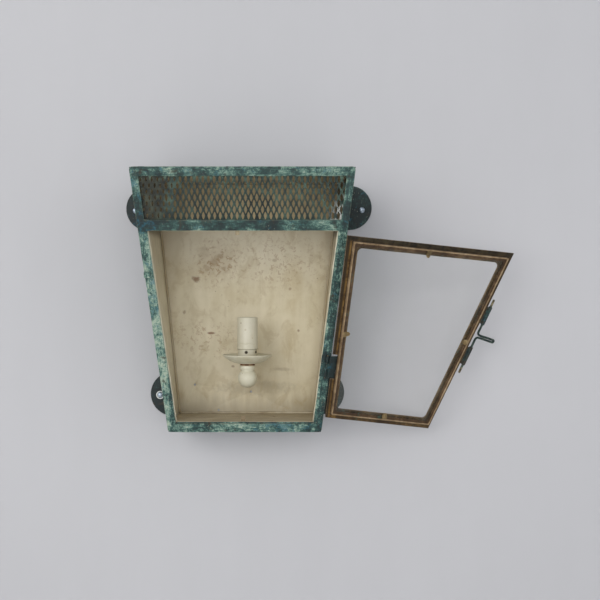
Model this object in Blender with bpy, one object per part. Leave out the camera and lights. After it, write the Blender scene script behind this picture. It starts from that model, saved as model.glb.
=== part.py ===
# Outdoor wall lantern with its door open.
# Metres, +Z up.  The wall is the plane Y = 0, the front of the lantern faces -Y.
# The origin is the middle of the back plate's rear face.
import bpy
import bmesh
import math
from mathutils import Vector, Matrix, Quaternion

for o in list(bpy.data.objects):
    bpy.data.objects.remove(o, do_unlink=True)

MM = 0.001

# ---------------------------------------------------------------- dimensions (mm)
Z_TOP = 167.0            # top edge of the front face
Z_BOT = -167.4           # bottom edge of the front face
D_TOP = 184.8            # depth from the wall at the top
D_BOT = 98.0             # depth from the wall at the bottom
W_TOP = 138.5            # half width of the front face at the top
W_BOT = 99.8             # half width of the front face at the bottom
SIDE_C = -0.0488         # the sides draw in towards the wall by this slope
SHEET = 1.3              # sheet thickness
GAP = 0.3                # working gap between separate pieces
BAR = 3.0                # thickness of the front frame bars
CORNER = 4.0             # outer corner radius of the front frame

SLOPE_L = math.hypot(D_TOP - D_BOT, Z_TOP - Z_BOT)
E_T = Vector((0.0, (D_TOP - D_BOT) / SLOPE_L, -(Z_TOP - Z_BOT) / SLOPE_L))
E_N = Vector((0.0, E_T.z, -E_T.y))       # outward normal of the front face
E_S = Vector((1.0, 0.0, 0.0))
FRONT0 = Vector((0.0, -D_TOP, Z_TOP))

T_TOPRAIL = 11.6         # rows down the slope of the front face
T_GRILLE_END = 65.7
T_MID_END = 79.2
T_BOTRAIL = 333.6
HALF_SLOPE = (W_TOP - W_BOT) / SLOPE_L

# door outline when closed, in the front face's (s, t)
DOOR = [(-125.4, 73.4), (120.7, 80.8), (87.6, 324.6), (-74.8, 331.8)]
DOOR_N0 = 0.8            # inner face of the door's flange, off the front face
DOOR_PLATE = 1.5
RIM_U0, RIM_U1, RIM_DEPTH = 6.2, 8.0, 4.2
BAND_U = 14.5
GLASS_U = 9.0
OPEN_ANGLE = math.radians(201.8)
HINGE_TILT = math.radians(2.0)   # the pin leans a little out of the front face's plane

HINGE_S, HINGE_T, HINGE_N = 104.8, 254.8, 2.75
HINGE_LEN = 29.0
HINGE_R = 1.7

LATCH_OFF = 6.4          # rod centre outside the door's free edge
LATCH_N = 3.6
LATCH_ROD_R = 1.4
LATCH_TUBE_R = 2.7
LATCH_T = dict(rod=(140.0, 246.0), upper=(149.5, 175.5), lower=(208.5, 235.0), handle=192.0)
LATCH_BEND = 4.0
LATCH_HANDLE = 30.0

LAMP_X, LAMP_Y = 2.3, -58.0
HOLDER_R = 13.9
DISH_R = 33.5
BALL_Z, BALL_R = -99.9, 13.0

EARS = {                 # disc centre x, z and screw x, z
    "ear_top_left": (-138.1, 132.2, -155.6, 129.4),
    "ear_top_right": (143.2, 133.6, 160.4, 130.3),
    "ear_bottom_left": (-103.8, -126.1, -121.3, -127.8),
    "ear_bottom_right": (104.7, -124.0, 122.2, -126.0),
}
EAR_R = 30.8
EAR_T = 3.0

FLOOR_Z = -153.2         # top of the bottom plate


# ---------------------------------------------------------------- helpers
def material(name, color, rough, metal):
    m = bpy.data.materials.new(name)
    m.use_nodes = True
    b = m.node_tree.nodes["Principled BSDF"]
    b.inputs["Base Color"].default_value = (*color, 1.0)
    b.inputs["Roughness"].default_value = rough
    b.inputs["Metallic"].default_value = metal
    m.diffuse_color = (*color, 1.0)
    return m


GREEN = (0.035, 0.085, 0.075)
CREAM = (0.62, 0.58, 0.43)
BRASS = (0.20, 0.12, 0.05)


def front(s, t, n=0.0):
    return FRONT0 + E_S * s + E_T * t + E_N * n


def half(t):
    return W_TOP - HALF_SLOPE * t


def side_x(y, z):
    """Half width of the outer side surface at a depth y and a height z."""
    # the plane through the two front corners, drawn in towards the wall
    b = ((W_TOP - W_BOT) - SIDE_C * (-D_TOP + D_BOT)) / (Z_TOP - Z_BOT)
    a = W_TOP - b * Z_TOP - SIDE_C * -D_TOP
    return a + b * z + SIDE_C * y


def loft(rings, closed_ends=True):
    """Closed mesh through rings of points (all of one length)."""
    bm = bmesh.new()
    vs = [[bm.verts.new(p) for p in ring] for ring in rings]
    n = len(rings[0])
    for a, b in zip(vs[:-1], vs[1:]):
        for i in range(n):
            bm.faces.new((a[i], a[(i + 1) % n], b[(i + 1) % n], b[i]))
    if closed_ends:
        bm.faces.new(list(reversed(vs[0])))
        bm.faces.new(vs[-1])
    bmesh.ops.recalc_face_normals(bm, faces=bm.faces)
    if bm.calc_volume(signed=True) < 0:
        bmesh.ops.reverse_faces(bm, faces=bm.faces)
    return bm


def slab(pts_n0, pts_n1):
    return loft([pts_n0, pts_n1])


def front_slab(poly, n0, n1):
    return slab([front(s, t, n0) for s, t in poly], [front(s, t, n1) for s, t in poly])


def wall_slab(poly, y0, y1):
    return slab([Vector((x, y0, z)) for x, z in poly], [Vector((x, y1, z)) for x, z in poly])


def frame_of(axis):
    axis = axis.normalized()
    ref = Vector((0, 0, 1)) if abs(axis.z) < 0.8 else Vector((1, 0, 0))
    u = axis.cross(ref).normalized()
    return u, axis.cross(u).normalized(), axis


def rod(p0, p1, r, seg=16):
    u, v, w = frame_of(p1 - p0)
    ring = lambda c: [c + u * (r * math.cos(2 * math.pi * i / seg)) + v * (r * math.sin(2 * math.pi * i / seg)) for i in range(seg)]
    return loft([ring(p0), ring(p1)])


def lathe(profile, cx, cy, seg=32):
    """Closed profile of (radius, z) turned round the vertical through (cx, cy).
    A radius of 0 at both ends of an open profile closes it on the axis."""
    bm = bmesh.new()
    on_axis = profile[0][0] == 0.0
    cols = []
    for k in range(seg):
        a = 2 * math.pi * k / seg
        cols.append([None if r == 0.0 else bm.verts.new((cx + r * math.cos(a), cy + r * math.sin(a), z)) for r, z in profile])
    tips = {i: bm.verts.new((cx, cy, z)) for i, (r, z) in enumerate(profile) if r == 0.0}
    n = len(profile)
    pairs = [(i, i + 1) for i in range(n - 1)] + ([] if on_axis else [(n - 1, 0)])
    for k in range(seg):
        a, b = cols[k], cols[(k + 1) % seg]
        for i, j in pairs:
            quad = [a[i] or tips[i], b[i] or tips[i], b[j] or tips[j], a[j] or tips[j]]
            out = []
            for v in quad:
                if v not in out:
                    out.append(v)
            if len(out) > 2:
                bm.faces.new(out)
    bmesh.ops.recalc_face_normals(bm, faces=bm.faces)
    if bm.calc_volume(signed=True) < 0:
        bmesh.ops.reverse_faces(bm, faces=bm.faces)
    return bm


def box(x0, x1, y0, y1, z0, z1):
    return wall_slab([(x0, z0), (x1, z0), (x1, z1), (x0, z1)], y0, y1)


def combine(a, b, op):
    """EXACT Boolean of two closed bmeshes."""
    objs = []
    for bm in (a, b):
        me = bpy.data.meshes.new("tmp")
        bm.to_mesh(me)
        o = bpy.data.objects.new("tmp", me)
        bpy.context.scene.collection.objects.link(o)
        objs.append(o)
    m = objs[0].modifiers.new("b", "BOOLEAN")
    m.operation = op
    m.solver = "EXACT"
    m.object = objs[1]
    dg = bpy.context.evaluated_depsgraph_get()
    dg.update()
    out = bmesh.new()
    out.from_mesh(objs[0].evaluated_get(dg).to_mesh())
    for o in objs:
        bpy.data.objects.remove(o, do_unlink=True)
    bmesh.ops.remove_doubles(out, verts=out.verts, dist=0.002)
    bmesh.ops.dissolve_degenerate(out, edges=out.edges, dist=0.001)
    return out


def fuse(*bms):
    out = bms[0]
    for b in bms[1:]:
        out = combine(out, b, "UNION")
    return out


def cut(a, *bms):
    for b in bms:
        a = combine(a, b, "DIFFERENCE")
    return a


def together(*bms):
    """Several separate solids in one mesh."""
    out = bmesh.new()
    for b in bms:
        me = bpy.data.meshes.new("tmp")
        b.to_mesh(me)
        out.from_mesh(me)
        bpy.data.meshes.remove(me)
    return out


def add(name, bm, color, rough, metal, parent=None, origin=None, smooth=False):
    """Place a mesh made in world millimetres.  With a parent the mesh is
    kept relative to the parent's rest frame at `origin`."""
    off = origin if origin is not None else Vector((0, 0, 0))
    bmesh.ops.translate(bm, verts=bm.verts, vec=-off)
    bmesh.ops.scale(bm, vec=(MM, MM, MM), verts=bm.verts)
    me = bpy.data.meshes.new(name)
    bm.to_mesh(me)
    bm.free()
    o = bpy.data.objects.new(name, me)
    bpy.context.scene.collection.objects.link(o)
    if smooth:
        me.shade_smooth()
        me.set_sharp_from_angle(angle=math.radians(35))
    me.materials.append(material("m_" + name, color, rough, metal))
    if parent is not None:
        o.parent = parent
    elif origin is not None:
        o.location = off * MM
    return o


# ---------------------------------------------------------------- front frame
def arc(cx, cy, r, a0, a1, n=4):
    return [(cx + r * math.cos(math.radians(a0 + (a1 - a0) * i / n)), cy + r * math.sin(math.radians(a0 + (a1 - a0) * i / n))) for i in range(n + 1)]


# top rail, full width with rounded upper corners
wt = half(0.0)
poly = arc(-wt + CORNER, CORNER, CORNER, 180, 270) + arc(wt - CORNER, CORNER, CORNER, 270, 360)
poly += [(half(T_TOPRAIL), T_TOPRAIL), (-half(T_TOPRAIL), T_TOPRAIL)]
add("front_top_rail", front_slab(poly, -BAR, 0.0), GREEN, 0.6, 0.6)

wb = half(SLOPE_L)
poly = [(-half(T_BOTRAIL), T_BOTRAIL), (half(T_BOTRAIL), T_BOTRAIL)]
poly += arc(wb - CORNER, SLOPE_L - CORNER, CORNER, 0, 90) + arc(-wb + CORNER, SLOPE_L - CORNER, CORNER, 90, 180)
add("front_bottom_rail", front_slab(poly, -BAR, 0.0), GREEN, 0.6, 0.6)

INNER = [(T_TOPRAIL + GAP, 9.8), (T_GRILLE_END, 9.6), (T_MID_END, 11.4), (T_BOTRAIL - GAP, 11.9)]
for sgn, nm in ((-1, "left"), (1, "right")):
    poly = [(sgn * half(t), t) for t in (T_TOPRAIL + GAP, T_BOTRAIL - GAP)]
    poly += [(sgn * (half(t) - w), t) for t, w in reversed(INNER)]
    add("front_%s_stile" % nm, front_slab(poly, -BAR, 0.0), GREEN, 0.6, 0.6)

poly = [(-(half(T_GRILLE_END) - 9.6 - GAP), T_GRILLE_END), (half(T_GRILLE_END) - 9.6 - GAP, T_GRILLE_END),
        (half(T_MID_END) - 11.4 - GAP, T_MID_END), (-(half(T_MID_END) - 11.4 - GAP), T_MID_END)]
add("front_mid_rail", front_slab(poly, -BAR, 0.0), GREEN, 0.6, 0.6)

# ---------------------------------------------------------------- casing
N_BACK = -BAR - GAP       # everything behind the frame starts here


def y_behind(z, n=N_BACK):
    """Depth of the plane n behind the front face at a height z."""
    t = (front(0, 0, n).z - z) / -E_T.z
    return (front(0, 0, n) + E_T * t).y


ROOF_Z0, ROOF_Z1 = 165.6, 167.1
z0, z1 = Z_BOT, ROOF_Z0 - GAP
# side panels: sheets that draw in a little towards the wall
YB = -SHEET - GAP - 0.2
for sgn, nm in ((-1, "left"), (1, "right")):
    corners = [(y_behind(z1), z1), (YB, z1), (YB, z0), (y_behind(z0), z0)]
    outer = [Vector((sgn * (side_x(y, z) - 0.15), y, z)) for y, z in corners]
    inner = [Vector((sgn * (side_x(y, z) - 0.15 - SHEET), y, z)) for y, z in corners]
    add(nm + "_side_panel", slab(outer, inner), GREEN, 0.6, 0.6)

# roof plate
yr = y_behind(ROOF_Z1) + 0.1
poly3 = []
for z in (ROOF_Z0, ROOF_Z1):
    poly3.append([Vector((-side_x(yr, ROOF_Z0), yr, z)), Vector((side_x(yr, ROOF_Z0), yr, z)),
                  Vector((side_x(0, ROOF_Z0), 0.0, z)), Vector((-side_x(0, ROOF_Z0), 0.0, z))])
add("roof_plate", slab(*poly3), GREEN, 0.6, 0.6)

# back plate with its three small holes
zt = ROOF_Z0 - GAP
poly = [(-side_x(0, zt), zt), (side_x(0, zt), zt), (side_x(0, Z_BOT), Z_BOT), (-side_x(0, Z_BOT), Z_BOT)]
back = wall_slab(poly, -SHEET - 0.2, 0.0)
holes = [rod(Vector((x, -5, z)), Vector((x, 5, z)), r, 12) for x, z, r in ((-73.1, -113.5, 1.6), (-39.9, -149.0, 1.5), (5.3, -123.3, 1.6))]
add("back_plate", cut(back, *holes), CREAM, 0.7, 0.0)

# bottom plate, with a tongue that lies over the bottom rail between the stiles
yf = y_behind(FLOOR_Z - 2.0) + 0.2
tz = (FRONT0.z - FLOOR_Z) / -E_T.z
lip_w = half(tz) - 12.4
y_lip = y_behind(FLOOR_Z, -0.4)
xin = lambda y: side_x(y, FLOOR_Z - 2.0) - 0.15 - SHEET - 2 * GAP
poly = [(-lip_w, y_lip), (lip_w, y_lip), (lip_w, yf), (xin(yf), yf), (xin(YB), YB), (-xin(YB), YB), (-xin(yf), yf), (-lip_w, yf)]
add("bottom_plate", slab([Vector((x, y, FLOOR_Z - 1.8)) for x, y in poly], [Vector((x, y, FLOOR_Z)) for x, y in poly]), CREAM, 0.7, 0.0)

# vent grille: a sheet with staggered lozenge slots behind the upper opening
G0, G1 = 6.5, 71.0
gw = lambda t: half(t) - 4.5
plate = front_slab([(-gw(G0), G0), (gw(G0), G0), (gw(G1), G1), (-gw(G1), G1)], -5.0, -BAR - GAP - 0.1)
ROWS, PITCH = 4, 14.0
row_h = (T_GRILLE_END - T_TOPRAIL) / ROWS
slots = []
for r in range(ROWS):
    tc = T_TOPRAIL + row_h * (r + 0.5)
    off = 0.5 * PITCH if r % 2 else 0.0
    k = -20
    while k <= 20:
        sc = k * PITCH + off
        if abs(sc) + 4.4 < half(tc) - 11.0:
            slots.append(front_slab([(sc, tc - 5.6), (sc + 4.1, tc), (sc, tc + 5.6), (sc - 4.1, tc)], -8.0, 0.0))
        k += 1
add("vent_grille", cut(plate, together(*slots)), (0.12, 0.18, 0.13), 0.7, 0.5)

# door stops: small tabs behind the mid rail and on the bottom lip
stop = front_slab([(-9.5, 70.0 + 3), (-4.5, 70.0 + 3), (-4.5, 85.5), (-9.5, 85.5)], -6.6, -5.6)
add("door_stop_top", stop, GREEN, 0.6, 0.6)
yl = y_behind(FLOOR_Z + 4, -6.6)
stop2 = box(-4.8, 0.2, yl, yl + 1.0, FLOOR_Z + GAP, FLOOR_Z + 6.5)
add("door_stop_bottom", stop2, CREAM, 0.6, 0.2)

# ---------------------------------------------------------------- wall ears and screws
for nm, (cx, cz, sx, sz) in EARS.items():
    sgn = -1 if cx < 0 else 1
    disc = rod(Vector((cx, -EAR_T, cz)), Vector((cx, 0, cz)), EAR_R, 36)
    # cut the disc along the casing's side, leaving the part outside it
    zlo, zhi = cz - 45, cz + 45
    e = lambda z: sgn * (side_x(0, z) + GAP)
    far = -sgn * 40
    inner = wall_slab([(e(zlo), zlo), (e(zhi), zhi), (far, zhi), (far, zlo)], -10, 10)
    hole = rod(Vector((sx, -10, sz)), Vector((sx, 10, sz)), 2.6, 12)
    ear = cut(disc, inner, hole)
    # the leg that lies on the side panel
    legz = (cz - 13, cz + 13)
    pts = lambda d: [Vector((sgn * (side_x(y, z) + d), y, z)) for y, z in ((-15, legz[0]), (-0.001, legz[0]), (-0.001, legz[1]), (-15, legz[1]))]
    leg = slab(pts(GAP), pts(GAP + 1.6))
    add(nm, fuse(ear, leg), GREEN, 0.65, 0.5)
    head = rod(Vector((sx, -5.2, sz)), Vector((sx, -EAR_T - GAP, sz)), 4.1, 16)
    shank = rod(Vector((sx, -EAR_T - GAP - 0.5, sz)), Vector((sx, -0.3, sz)), 2.2, 12)
    slot = box(sx - 5, sx + 5, -6, -4.4, sz - 0.5, sz + 0.5)
    add(nm.replace("ear", "wall_screw"), cut(fuse(head, shank), slot), (0.35, 0.38, 0.40), 0.4, 0.9)

# ---------------------------------------------------------------- lamp
X, Y = LAMP_X, LAMP_Y
flange = rod(Vector((X, -1.8, BALL_Z)), Vector((X, -4.2, BALL_Z)), 7.6, 20)
add("arm_flange", flange, CREAM, 0.6, 0.1, smooth=True)
arm = rod(Vector((X, -4.5, BALL_Z)), Vector((X, Y + 8.0, BALL_Z)), 4.6, 16)
add("arm_tube", arm, CREAM, 0.6, 0.1, smooth=True)

NECK_Z = -82.9
GROOVE_R = 8.7
a_neck = math.acos(GROOVE_R / BALL_R)
prof = [(0.0, BALL_Z - BALL_R)]
steps = 9
for i in range(1, steps + 1):
    a = -math.pi / 2 + (a_neck + math.pi / 2) * i / steps
    prof.append((BALL_R * math.cos(a), BALL_Z + BALL_R * math.sin(a)))
prof += [(GROOVE_R, -88.9), (10.0, -87.6), (10.3, -84.2), (9.9, NECK_Z), (0.0, NECK_Z)]
ball = lathe(prof, X, Y, 24)
pocket = rod(Vector((X, Y + 7.6, BALL_Z)), Vector((X, Y + 30, BALL_Z)), 4.95, 16)
bore = rod(Vector((X, Y, -87.0)), Vector((X, Y, -70)), 4.4, 16)
add("bracket_ball", cut(ball, pocket, bore), CREAM, 0.5, 0.0, smooth=True)

add("threaded_nipple", lathe([(2.8, -86.5), (4.05, -86.5), (4.05, -66.2), (2.8, -66.2)], X, Y, 16), (0.5, 0.35, 0.15), 0.4, 1.0, smooth=True)
add("locking_ring", lathe([(4.4, -82.6), (10.2, -82.6), (10.2, -81.3), (4.4, -81.3)], X, Y, 24), (0.25, 0.10, 0.04), 0.8, 0.3, smooth=True)
# drip dish: a saucer with a flat middle and an upturned rim
dish = [(4.4, -81.0), (10.5, -80.7), (20.0, -78.4), (27.5, -74.4), (DISH_R - 1.2, -70.2), (DISH_R, -68.9), (DISH_R - 0.9, -68.2),
        (29.0, -70.2), (15.0, -71.2), (4.4, -71.2)]
add("drip_dish", lathe(dish, X, Y, 36), CREAM, 0.5, 0.0, smooth=True)
add("lampholder_base", lathe([(4.4, -70.9), (12.8, -70.9), (13.1, -70.4), (13.1, -61.6), (4.4, -61.6)], X, Y, 28), CREAM, 0.45, 0.0, smooth=True)
sleeve = [(12.2, -61.3), (HOLDER_R - 0.5, -61.3), (HOLDER_R, -60.8), (HOLDER_R, -18.6), (HOLDER_R - 0.6, -18.0),
          (10.0, -18.0), (10.0, -20.0), (12.2, -20.0)]
add("lampholder_sleeve", lathe(sleeve, X, Y, 28), CREAM, 0.45, 0.0, smooth=True)
add("lampholder_insulator", lathe([(0.0, -61.3), (11.8, -61.3), (11.8, -57.3), (0.0, -57.3)], X, Y, 20), (0.75, 0.72, 0.65), 0.4, 0.0, smooth=True)
add("lampholder_thread", lathe([(7.3, -57.0), (8.1, -57.0), (8.1, -27.0), (7.3, -27.0)], X, Y, 20), (0.6, 0.42, 0.2), 0.35, 1.0, smooth=True)
add("centre_contact", lathe([(0.0, -57.0), (2.2, -57.0), (2.2, -53.5), (0.0, -53.0)], X, Y, 12), (0.6, 0.42, 0.2), 0.35, 1.0, smooth=True)
for s, nm in ((-1, "left"), (1, "right")):
    term = rod(Vector((X + s * 10.0, Y, -57.0)), Vector((X + s * 10.0, Y, -52.0)), 1.2, 10)
    add("terminal_screw_" + nm, term, (0.55, 0.55, 0.5), 0.4, 1.0)

# ---------------------------------------------------------------- door
AXIS_DIR = (front(half(0), 0) - front(half(SLOPE_L), SLOPE_L)).normalized()   # up along the right stile
AXIS_DIR.rotate(Quaternion(AXIS_DIR.cross(E_N).normalized(), HINGE_TILT))
AXIS_P = front(HINGE_S, HINGE_T, HINGE_N)

door_axis = bpy.data.objects.new("door_axis", None)
bpy.context.scene.collection.objects.link(door_axis)
door_axis.rotation_mode = "QUATERNION"
door_axis.location = AXIS_P * MM
door_axis.rotation_quaternion = Quaternion(AXIS_DIR, OPEN_ANGLE)


def inset(poly, d):
    """Corners of the outline drawn in by d."""
    c = Vector((sum(p[0] for p in poly) / 4, sum(p[1] for p in poly) / 4))
    lines = []
    for i in range(4):
        a, b = Vector(poly[i]), Vector(poly[(i + 1) % 4])
        e = (b - a).normalized()
        nrm = Vector((-e.y, e.x))
        if (c - a).dot(nrm) < 0:
            nrm = -nrm
        lines.append((a + nrm * d, e))
    out = []
    for i in range(4):
        (p, e), (q, f) = lines[i - 1], lines[i]
        den = e.x * f.y - e.y * f.x
        k = ((q.x - p.x) * f.y - (q.y - p.y) * f.x) / den
        out.append(p + e * k)
    return out


N0, N1 = DOOR_N0, DOOR_N0 + DOOR_PLATE
PROFILE = [(0.0, N0), (0.0, N1), (BAND_U, N1), (BAND_U, N0), (RIM_U1, N0), (RIM_U1, N0 - RIM_DEPTH), (RIM_U0, N0 - RIM_DEPTH), (RIM_U0, N0)]


def member(i, gap=0.2):
    """One mitred member of the door frame, along side i of the outline."""
    a_ring, b_ring = [], []
    for u, n in PROFILE:
        q = inset(DOOR, u)
        a, b = q[i], q[(i + 1) % 4]
        e = (b - a).normalized()
        a, b = a + e * gap, b - e * gap
        a_ring.append(front(a.x, a.y, n))
        b_ring.append(front(b.x, b.y, n))
    return loft([a_ring, b_ring])


# notch in the hinge stile for the hinge
def edge_point(t, side=1):
    a, b = (DOOR[1], DOOR[2]) if side == 1 else (DOOR[0], DOOR[3])
    k = (t - a[1]) / (b[1] - a[1])
    return a[0] + (b[0] - a[0]) * k


HT0, HT1 = HINGE_T - HINGE_LEN / 2, HINGE_T + HINGE_LEN / 2
notch = front_slab([(edge_point(HT0) - 5.6, HT0 - 3.5), (edge_point(HT0) + 9, HT0 - 3.5), (edge_point(HT1) + 9, HT1 + 0.8), (edge_point(HT1) - 5.6, HT1 + 0.8)], -2.0, 6.0)

kw = dict(parent=door_axis, origin=AXIS_P)
add("door_top_rail", member(0), BRASS, 0.5, 0.7, **kw)
add("door_hinge_stile", cut(member(1), notch), BRASS, 0.5, 0.7, **kw)
add("door_bottom_rail", member(2), BRASS, 0.5, 0.7, **kw)
add("door_latch_stile", member(3), BRASS, 0.5, 0.7, **kw)

g = inset(DOOR, GLASS_U)
glass = slab([front(p.x, p.y, N0 - GAP - 2.0) for p in g], [front(p.x, p.y, N0 - GAP) for p in g])
add("door_glass", glass, (0.8, 0.85, 0.85), 0.05, 0.0, **kw)

# four bent glass clips, at the middle of each side
CLIP_N = N0 - GAP - 2.0 - GAP
for i, k, nm in ((0, 0.53, "top"), (1, 0.52, "hinge_side"), (2, 0.52, "bottom"), (3, 0.50, "latch_side")):
    q0, q1 = inset(DOOR, RIM_U1 + GAP), inset(DOOR, RIM_U1 + 8.5)
    a, b = q0[i], q0[(i + 1) % 4]
    e = (b - a).normalized()
    c0 = a.lerp(b, k)
    a2, b2 = q1[i], q1[(i + 1) % 4]
    inw = Vector((-e.y, e.x))
    if (a2 - a).dot(inw) < 0:
        inw = -inw
    P = lambda u, v: c0 + e * v + inw * u
    pts = [P(0, -3.2), P(0, 3.2), P(6.2, 2.4), P(6.2, -2.4)]
    clip = slab([front(p.x, p.y, CLIP_N) for p in pts], [front(p.x, p.y, CLIP_N - 0.9) for p in pts])
    add("glass_clip_" + nm, clip, (0.45, 0.28, 0.08), 0.4, 1.0, **kw)

# ---------------------------------------------------------------- hinge
def along(v):
    """A point of the hinge at v along the pin and (ds, dn) off it."""
    return AXIS_P + AXIS_DIR * v


HS = AXIS_DIR.cross(E_N).normalized()
if HS.x > 0:
    HS = -HS                                # towards the door when it is closed


def hpt(p, v):
    """(u, n) at v along the pin; a third value keeps n parallel to the front face."""
    n = p[1] - HINGE_N
    if len(p) < 3:
        n -= v * math.sin(HINGE_TILT)
    return along(v) + HS * p[0] + E_N * n


def hprism(pts, v0, v1):
    return slab([hpt(p, v0) for p in pts], [hpt(p, v1) for p in pts])


HL = HINGE_LEN / 2
pin = rod(along(-HL - 0.8), along(HL + 0.8), 0.85, 12)
add("hinge_pin", pin, (0.20, 0.16, 0.10), 0.5, 0.9, smooth=True)

pin_bore = rod(along(-HL - 5), along(HL + 5), 1.1, 12)


def knuckle(u_end, n_lo, n_hi, a0, a1, v0, v1):
    """Leaf and barrel as one extruded outline."""
    pts = [(u_end, n_lo), (u_end, n_hi)]
    if a1 < 300:
        pts.append((2.3, n_hi))
    for i in range(15):
        a = math.radians(a0 + (a1 - a0) * i / 14)
        pts.append((HINGE_R * math.cos(a), HINGE_N + HINGE_R * math.sin(a), 1))
    if a1 < 300:
        pts.append((0.6, n_lo))
    return hprism(pts, v0, v1)


third = HINGE_LEN / 6 + 0.2
leaf_mid = hprism([(2.4, 0.36), (7.1, 0.36), (7.1, 1.14), (2.4, 1.14)], -third - 1.0, third + 1.0)
add("hinge_body_leaf", cut(fuse(knuckle(7.2, GAP, 1.2, -20, 250, -HL, -third), knuckle(7.2, GAP, 1.2, -20, 250, third, HL), leaf_mid), pin_bore), GREEN, 0.6, 0.5)

# the door leaf lies over the body leaf when the door is closed
third -= 0.4
x_edge = HINGE_S - edge_point(HINGE_T) + RIM_U0 - 0.7
ends = [hprism([(2.7, 1.56), (x_edge - 0.1, 1.56), (x_edge - 0.1, 2.24), (2.7, 2.24)], a, b) for a, b in ((-HL, -third + 1.0), (third - 1.0, HL))]
add("hinge_door_leaf", cut(fuse(knuckle(x_edge, 1.5, 2.3, 0, 332, -third, third), *ends), pin_bore), GREEN, 0.6, 0.5, **kw)

# ---------------------------------------------------------------- latch
A, B = Vector(DOOR[0]), Vector(DOOR[3])
e_l = (B - A).normalized()                      # down along the free edge
o_l = Vector((-e_l.y, e_l.x))
if o_l.x > 0:
    o_l = -o_l                                  # outwards from the free edge


def lpt(u, n, t):
    """u outside the free edge, n off the front face, t down the slope."""
    p = A + e_l * ((t - A.y) / e_l.y) + o_l * u
    return front(p.x, p.y, n)


for nm, key in (("latch_tube_upper", "upper"), ("latch_tube_lower", "lower")):
    t0, t1 = LATCH_T[key]
    tube = rod(lpt(LATCH_OFF, LATCH_N, t0), lpt(LATCH_OFF, LATCH_N, t1), LATCH_TUBE_R, 16)
    tab = slab([lpt(u, n, t0) for u, n in ((LATCH_OFF - 1.5, 2.6), (LATCH_OFF - 1.5, 4.0), (-5.5, 4.0), (-5.5, 2.6))],
               [lpt(u, n, t1) for u, n in ((LATCH_OFF - 1.5, 2.6), (LATCH_OFF - 1.5, 4.0), (-5.5, 4.0), (-5.5, 2.6))])
    bore = rod(lpt(LATCH_OFF, LATCH_N, t0 - 5), lpt(LATCH_OFF, LATCH_N, t1 + 5), LATCH_ROD_R + GAP, 14)
    add(nm, cut(fuse(tube, tab), bore), GREEN, 0.6, 0.5, **kw)

LATCH_P = lpt(LATCH_OFF, LATCH_N, 192.5)
latch_axis = bpy.data.objects.new("latch_axis", None)
bpy.context.scene.collection.objects.link(latch_axis)
latch_axis.parent = door_axis
latch_axis.location = (LATCH_P - AXIS_P) * MM
kl = dict(parent=latch_axis, origin=LATCH_P)
# the bolt is one bent wire: up through the tube, out and back as a doubled
# loop for the thumb, and down through the lower tube
t0, t1 = LATCH_T["rod"]
TM, HALF_W = LATCH_T["handle"], 1.6
path = [(0.0, t0), (0.0, (t0 + TM) / 2)]
for k in range(5):
    a = math.radians(90 * k / 4)
    path.append((LATCH_BEND * (1 - math.cos(a)), TM - HALF_W - LATCH_BEND + LATCH_BEND * math.sin(a)))
for k in range(7):
    a = math.radians(-90 + 180 * k / 6)
    path.append((LATCH_HANDLE - HALF_W + HALF_W * math.cos(a), TM + HALF_W * math.sin(a)))
for k in range(5):
    a = math.radians(90 - 90 * k / 4)
    path.append((LATCH_BEND * (1 - math.cos(a)), TM + HALF_W + LATCH_BEND - LATCH_BEND * math.sin(a)))
path += [(0.0, (t1 + TM) / 2), (0.0, t1)]
pts = [lpt(LATCH_OFF + u, LATCH_N, t) for u, t in path]
rings = []
for i, p in enumerate(pts):
    d = (pts[min(i + 1, len(pts) - 1)] - pts[max(i - 1, 0)]).normalized()
    side = d.cross(E_N).normalized()
    rings.append([p + side * (LATCH_ROD_R * math.cos(math.radians(36 * j))) + E_N * (LATCH_ROD_R * math.sin(math.radians(36 * j))) for j in range(10)])
add("latch_bolt", loft(rings), GREEN, 0.6, 0.5, smooth=True, **kl)

# keeper: an eye on the left stile that the bolt's upper end slides into
kt0, kt1 = 130.5, 137.5
kc = lambda t: lpt(LATCH_OFF, LATCH_N, t)
sk = (kc(134.0) - FRONT0).x
block = front_slab([(sk - 3.6, kt0), (sk + 3.6, kt0), (sk + 3.6, kt1), (sk - 3.6, kt1)], GAP, LATCH_N + 3.0)
eye = rod(lpt(LATCH_OFF, LATCH_N, kt0 - 8), lpt(LATCH_OFF, LATCH_N, kt1 + 8), LATCH_ROD_R + 0.45, 14)
add("latch_keeper", cut(block, eye), GREEN, 0.6, 0.5)

bpy.context.view_layer.update()
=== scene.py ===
import bpy, bmesh, math
from mathutils import Vector, Matrix, Quaternion, noise


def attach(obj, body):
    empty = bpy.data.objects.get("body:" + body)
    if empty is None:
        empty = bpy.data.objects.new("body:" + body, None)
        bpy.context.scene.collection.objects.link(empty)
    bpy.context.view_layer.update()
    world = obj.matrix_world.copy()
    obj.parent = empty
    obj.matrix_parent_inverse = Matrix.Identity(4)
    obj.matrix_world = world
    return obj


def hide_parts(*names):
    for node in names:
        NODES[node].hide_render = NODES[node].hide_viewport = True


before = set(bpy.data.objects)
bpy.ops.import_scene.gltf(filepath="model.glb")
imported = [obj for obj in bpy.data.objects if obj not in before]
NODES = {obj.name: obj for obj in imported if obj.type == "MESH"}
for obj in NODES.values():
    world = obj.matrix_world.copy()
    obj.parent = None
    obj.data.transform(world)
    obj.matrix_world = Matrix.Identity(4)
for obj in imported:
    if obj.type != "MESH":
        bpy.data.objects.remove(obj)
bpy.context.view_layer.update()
sc = bpy.context.scene
MM = 0.001

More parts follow.
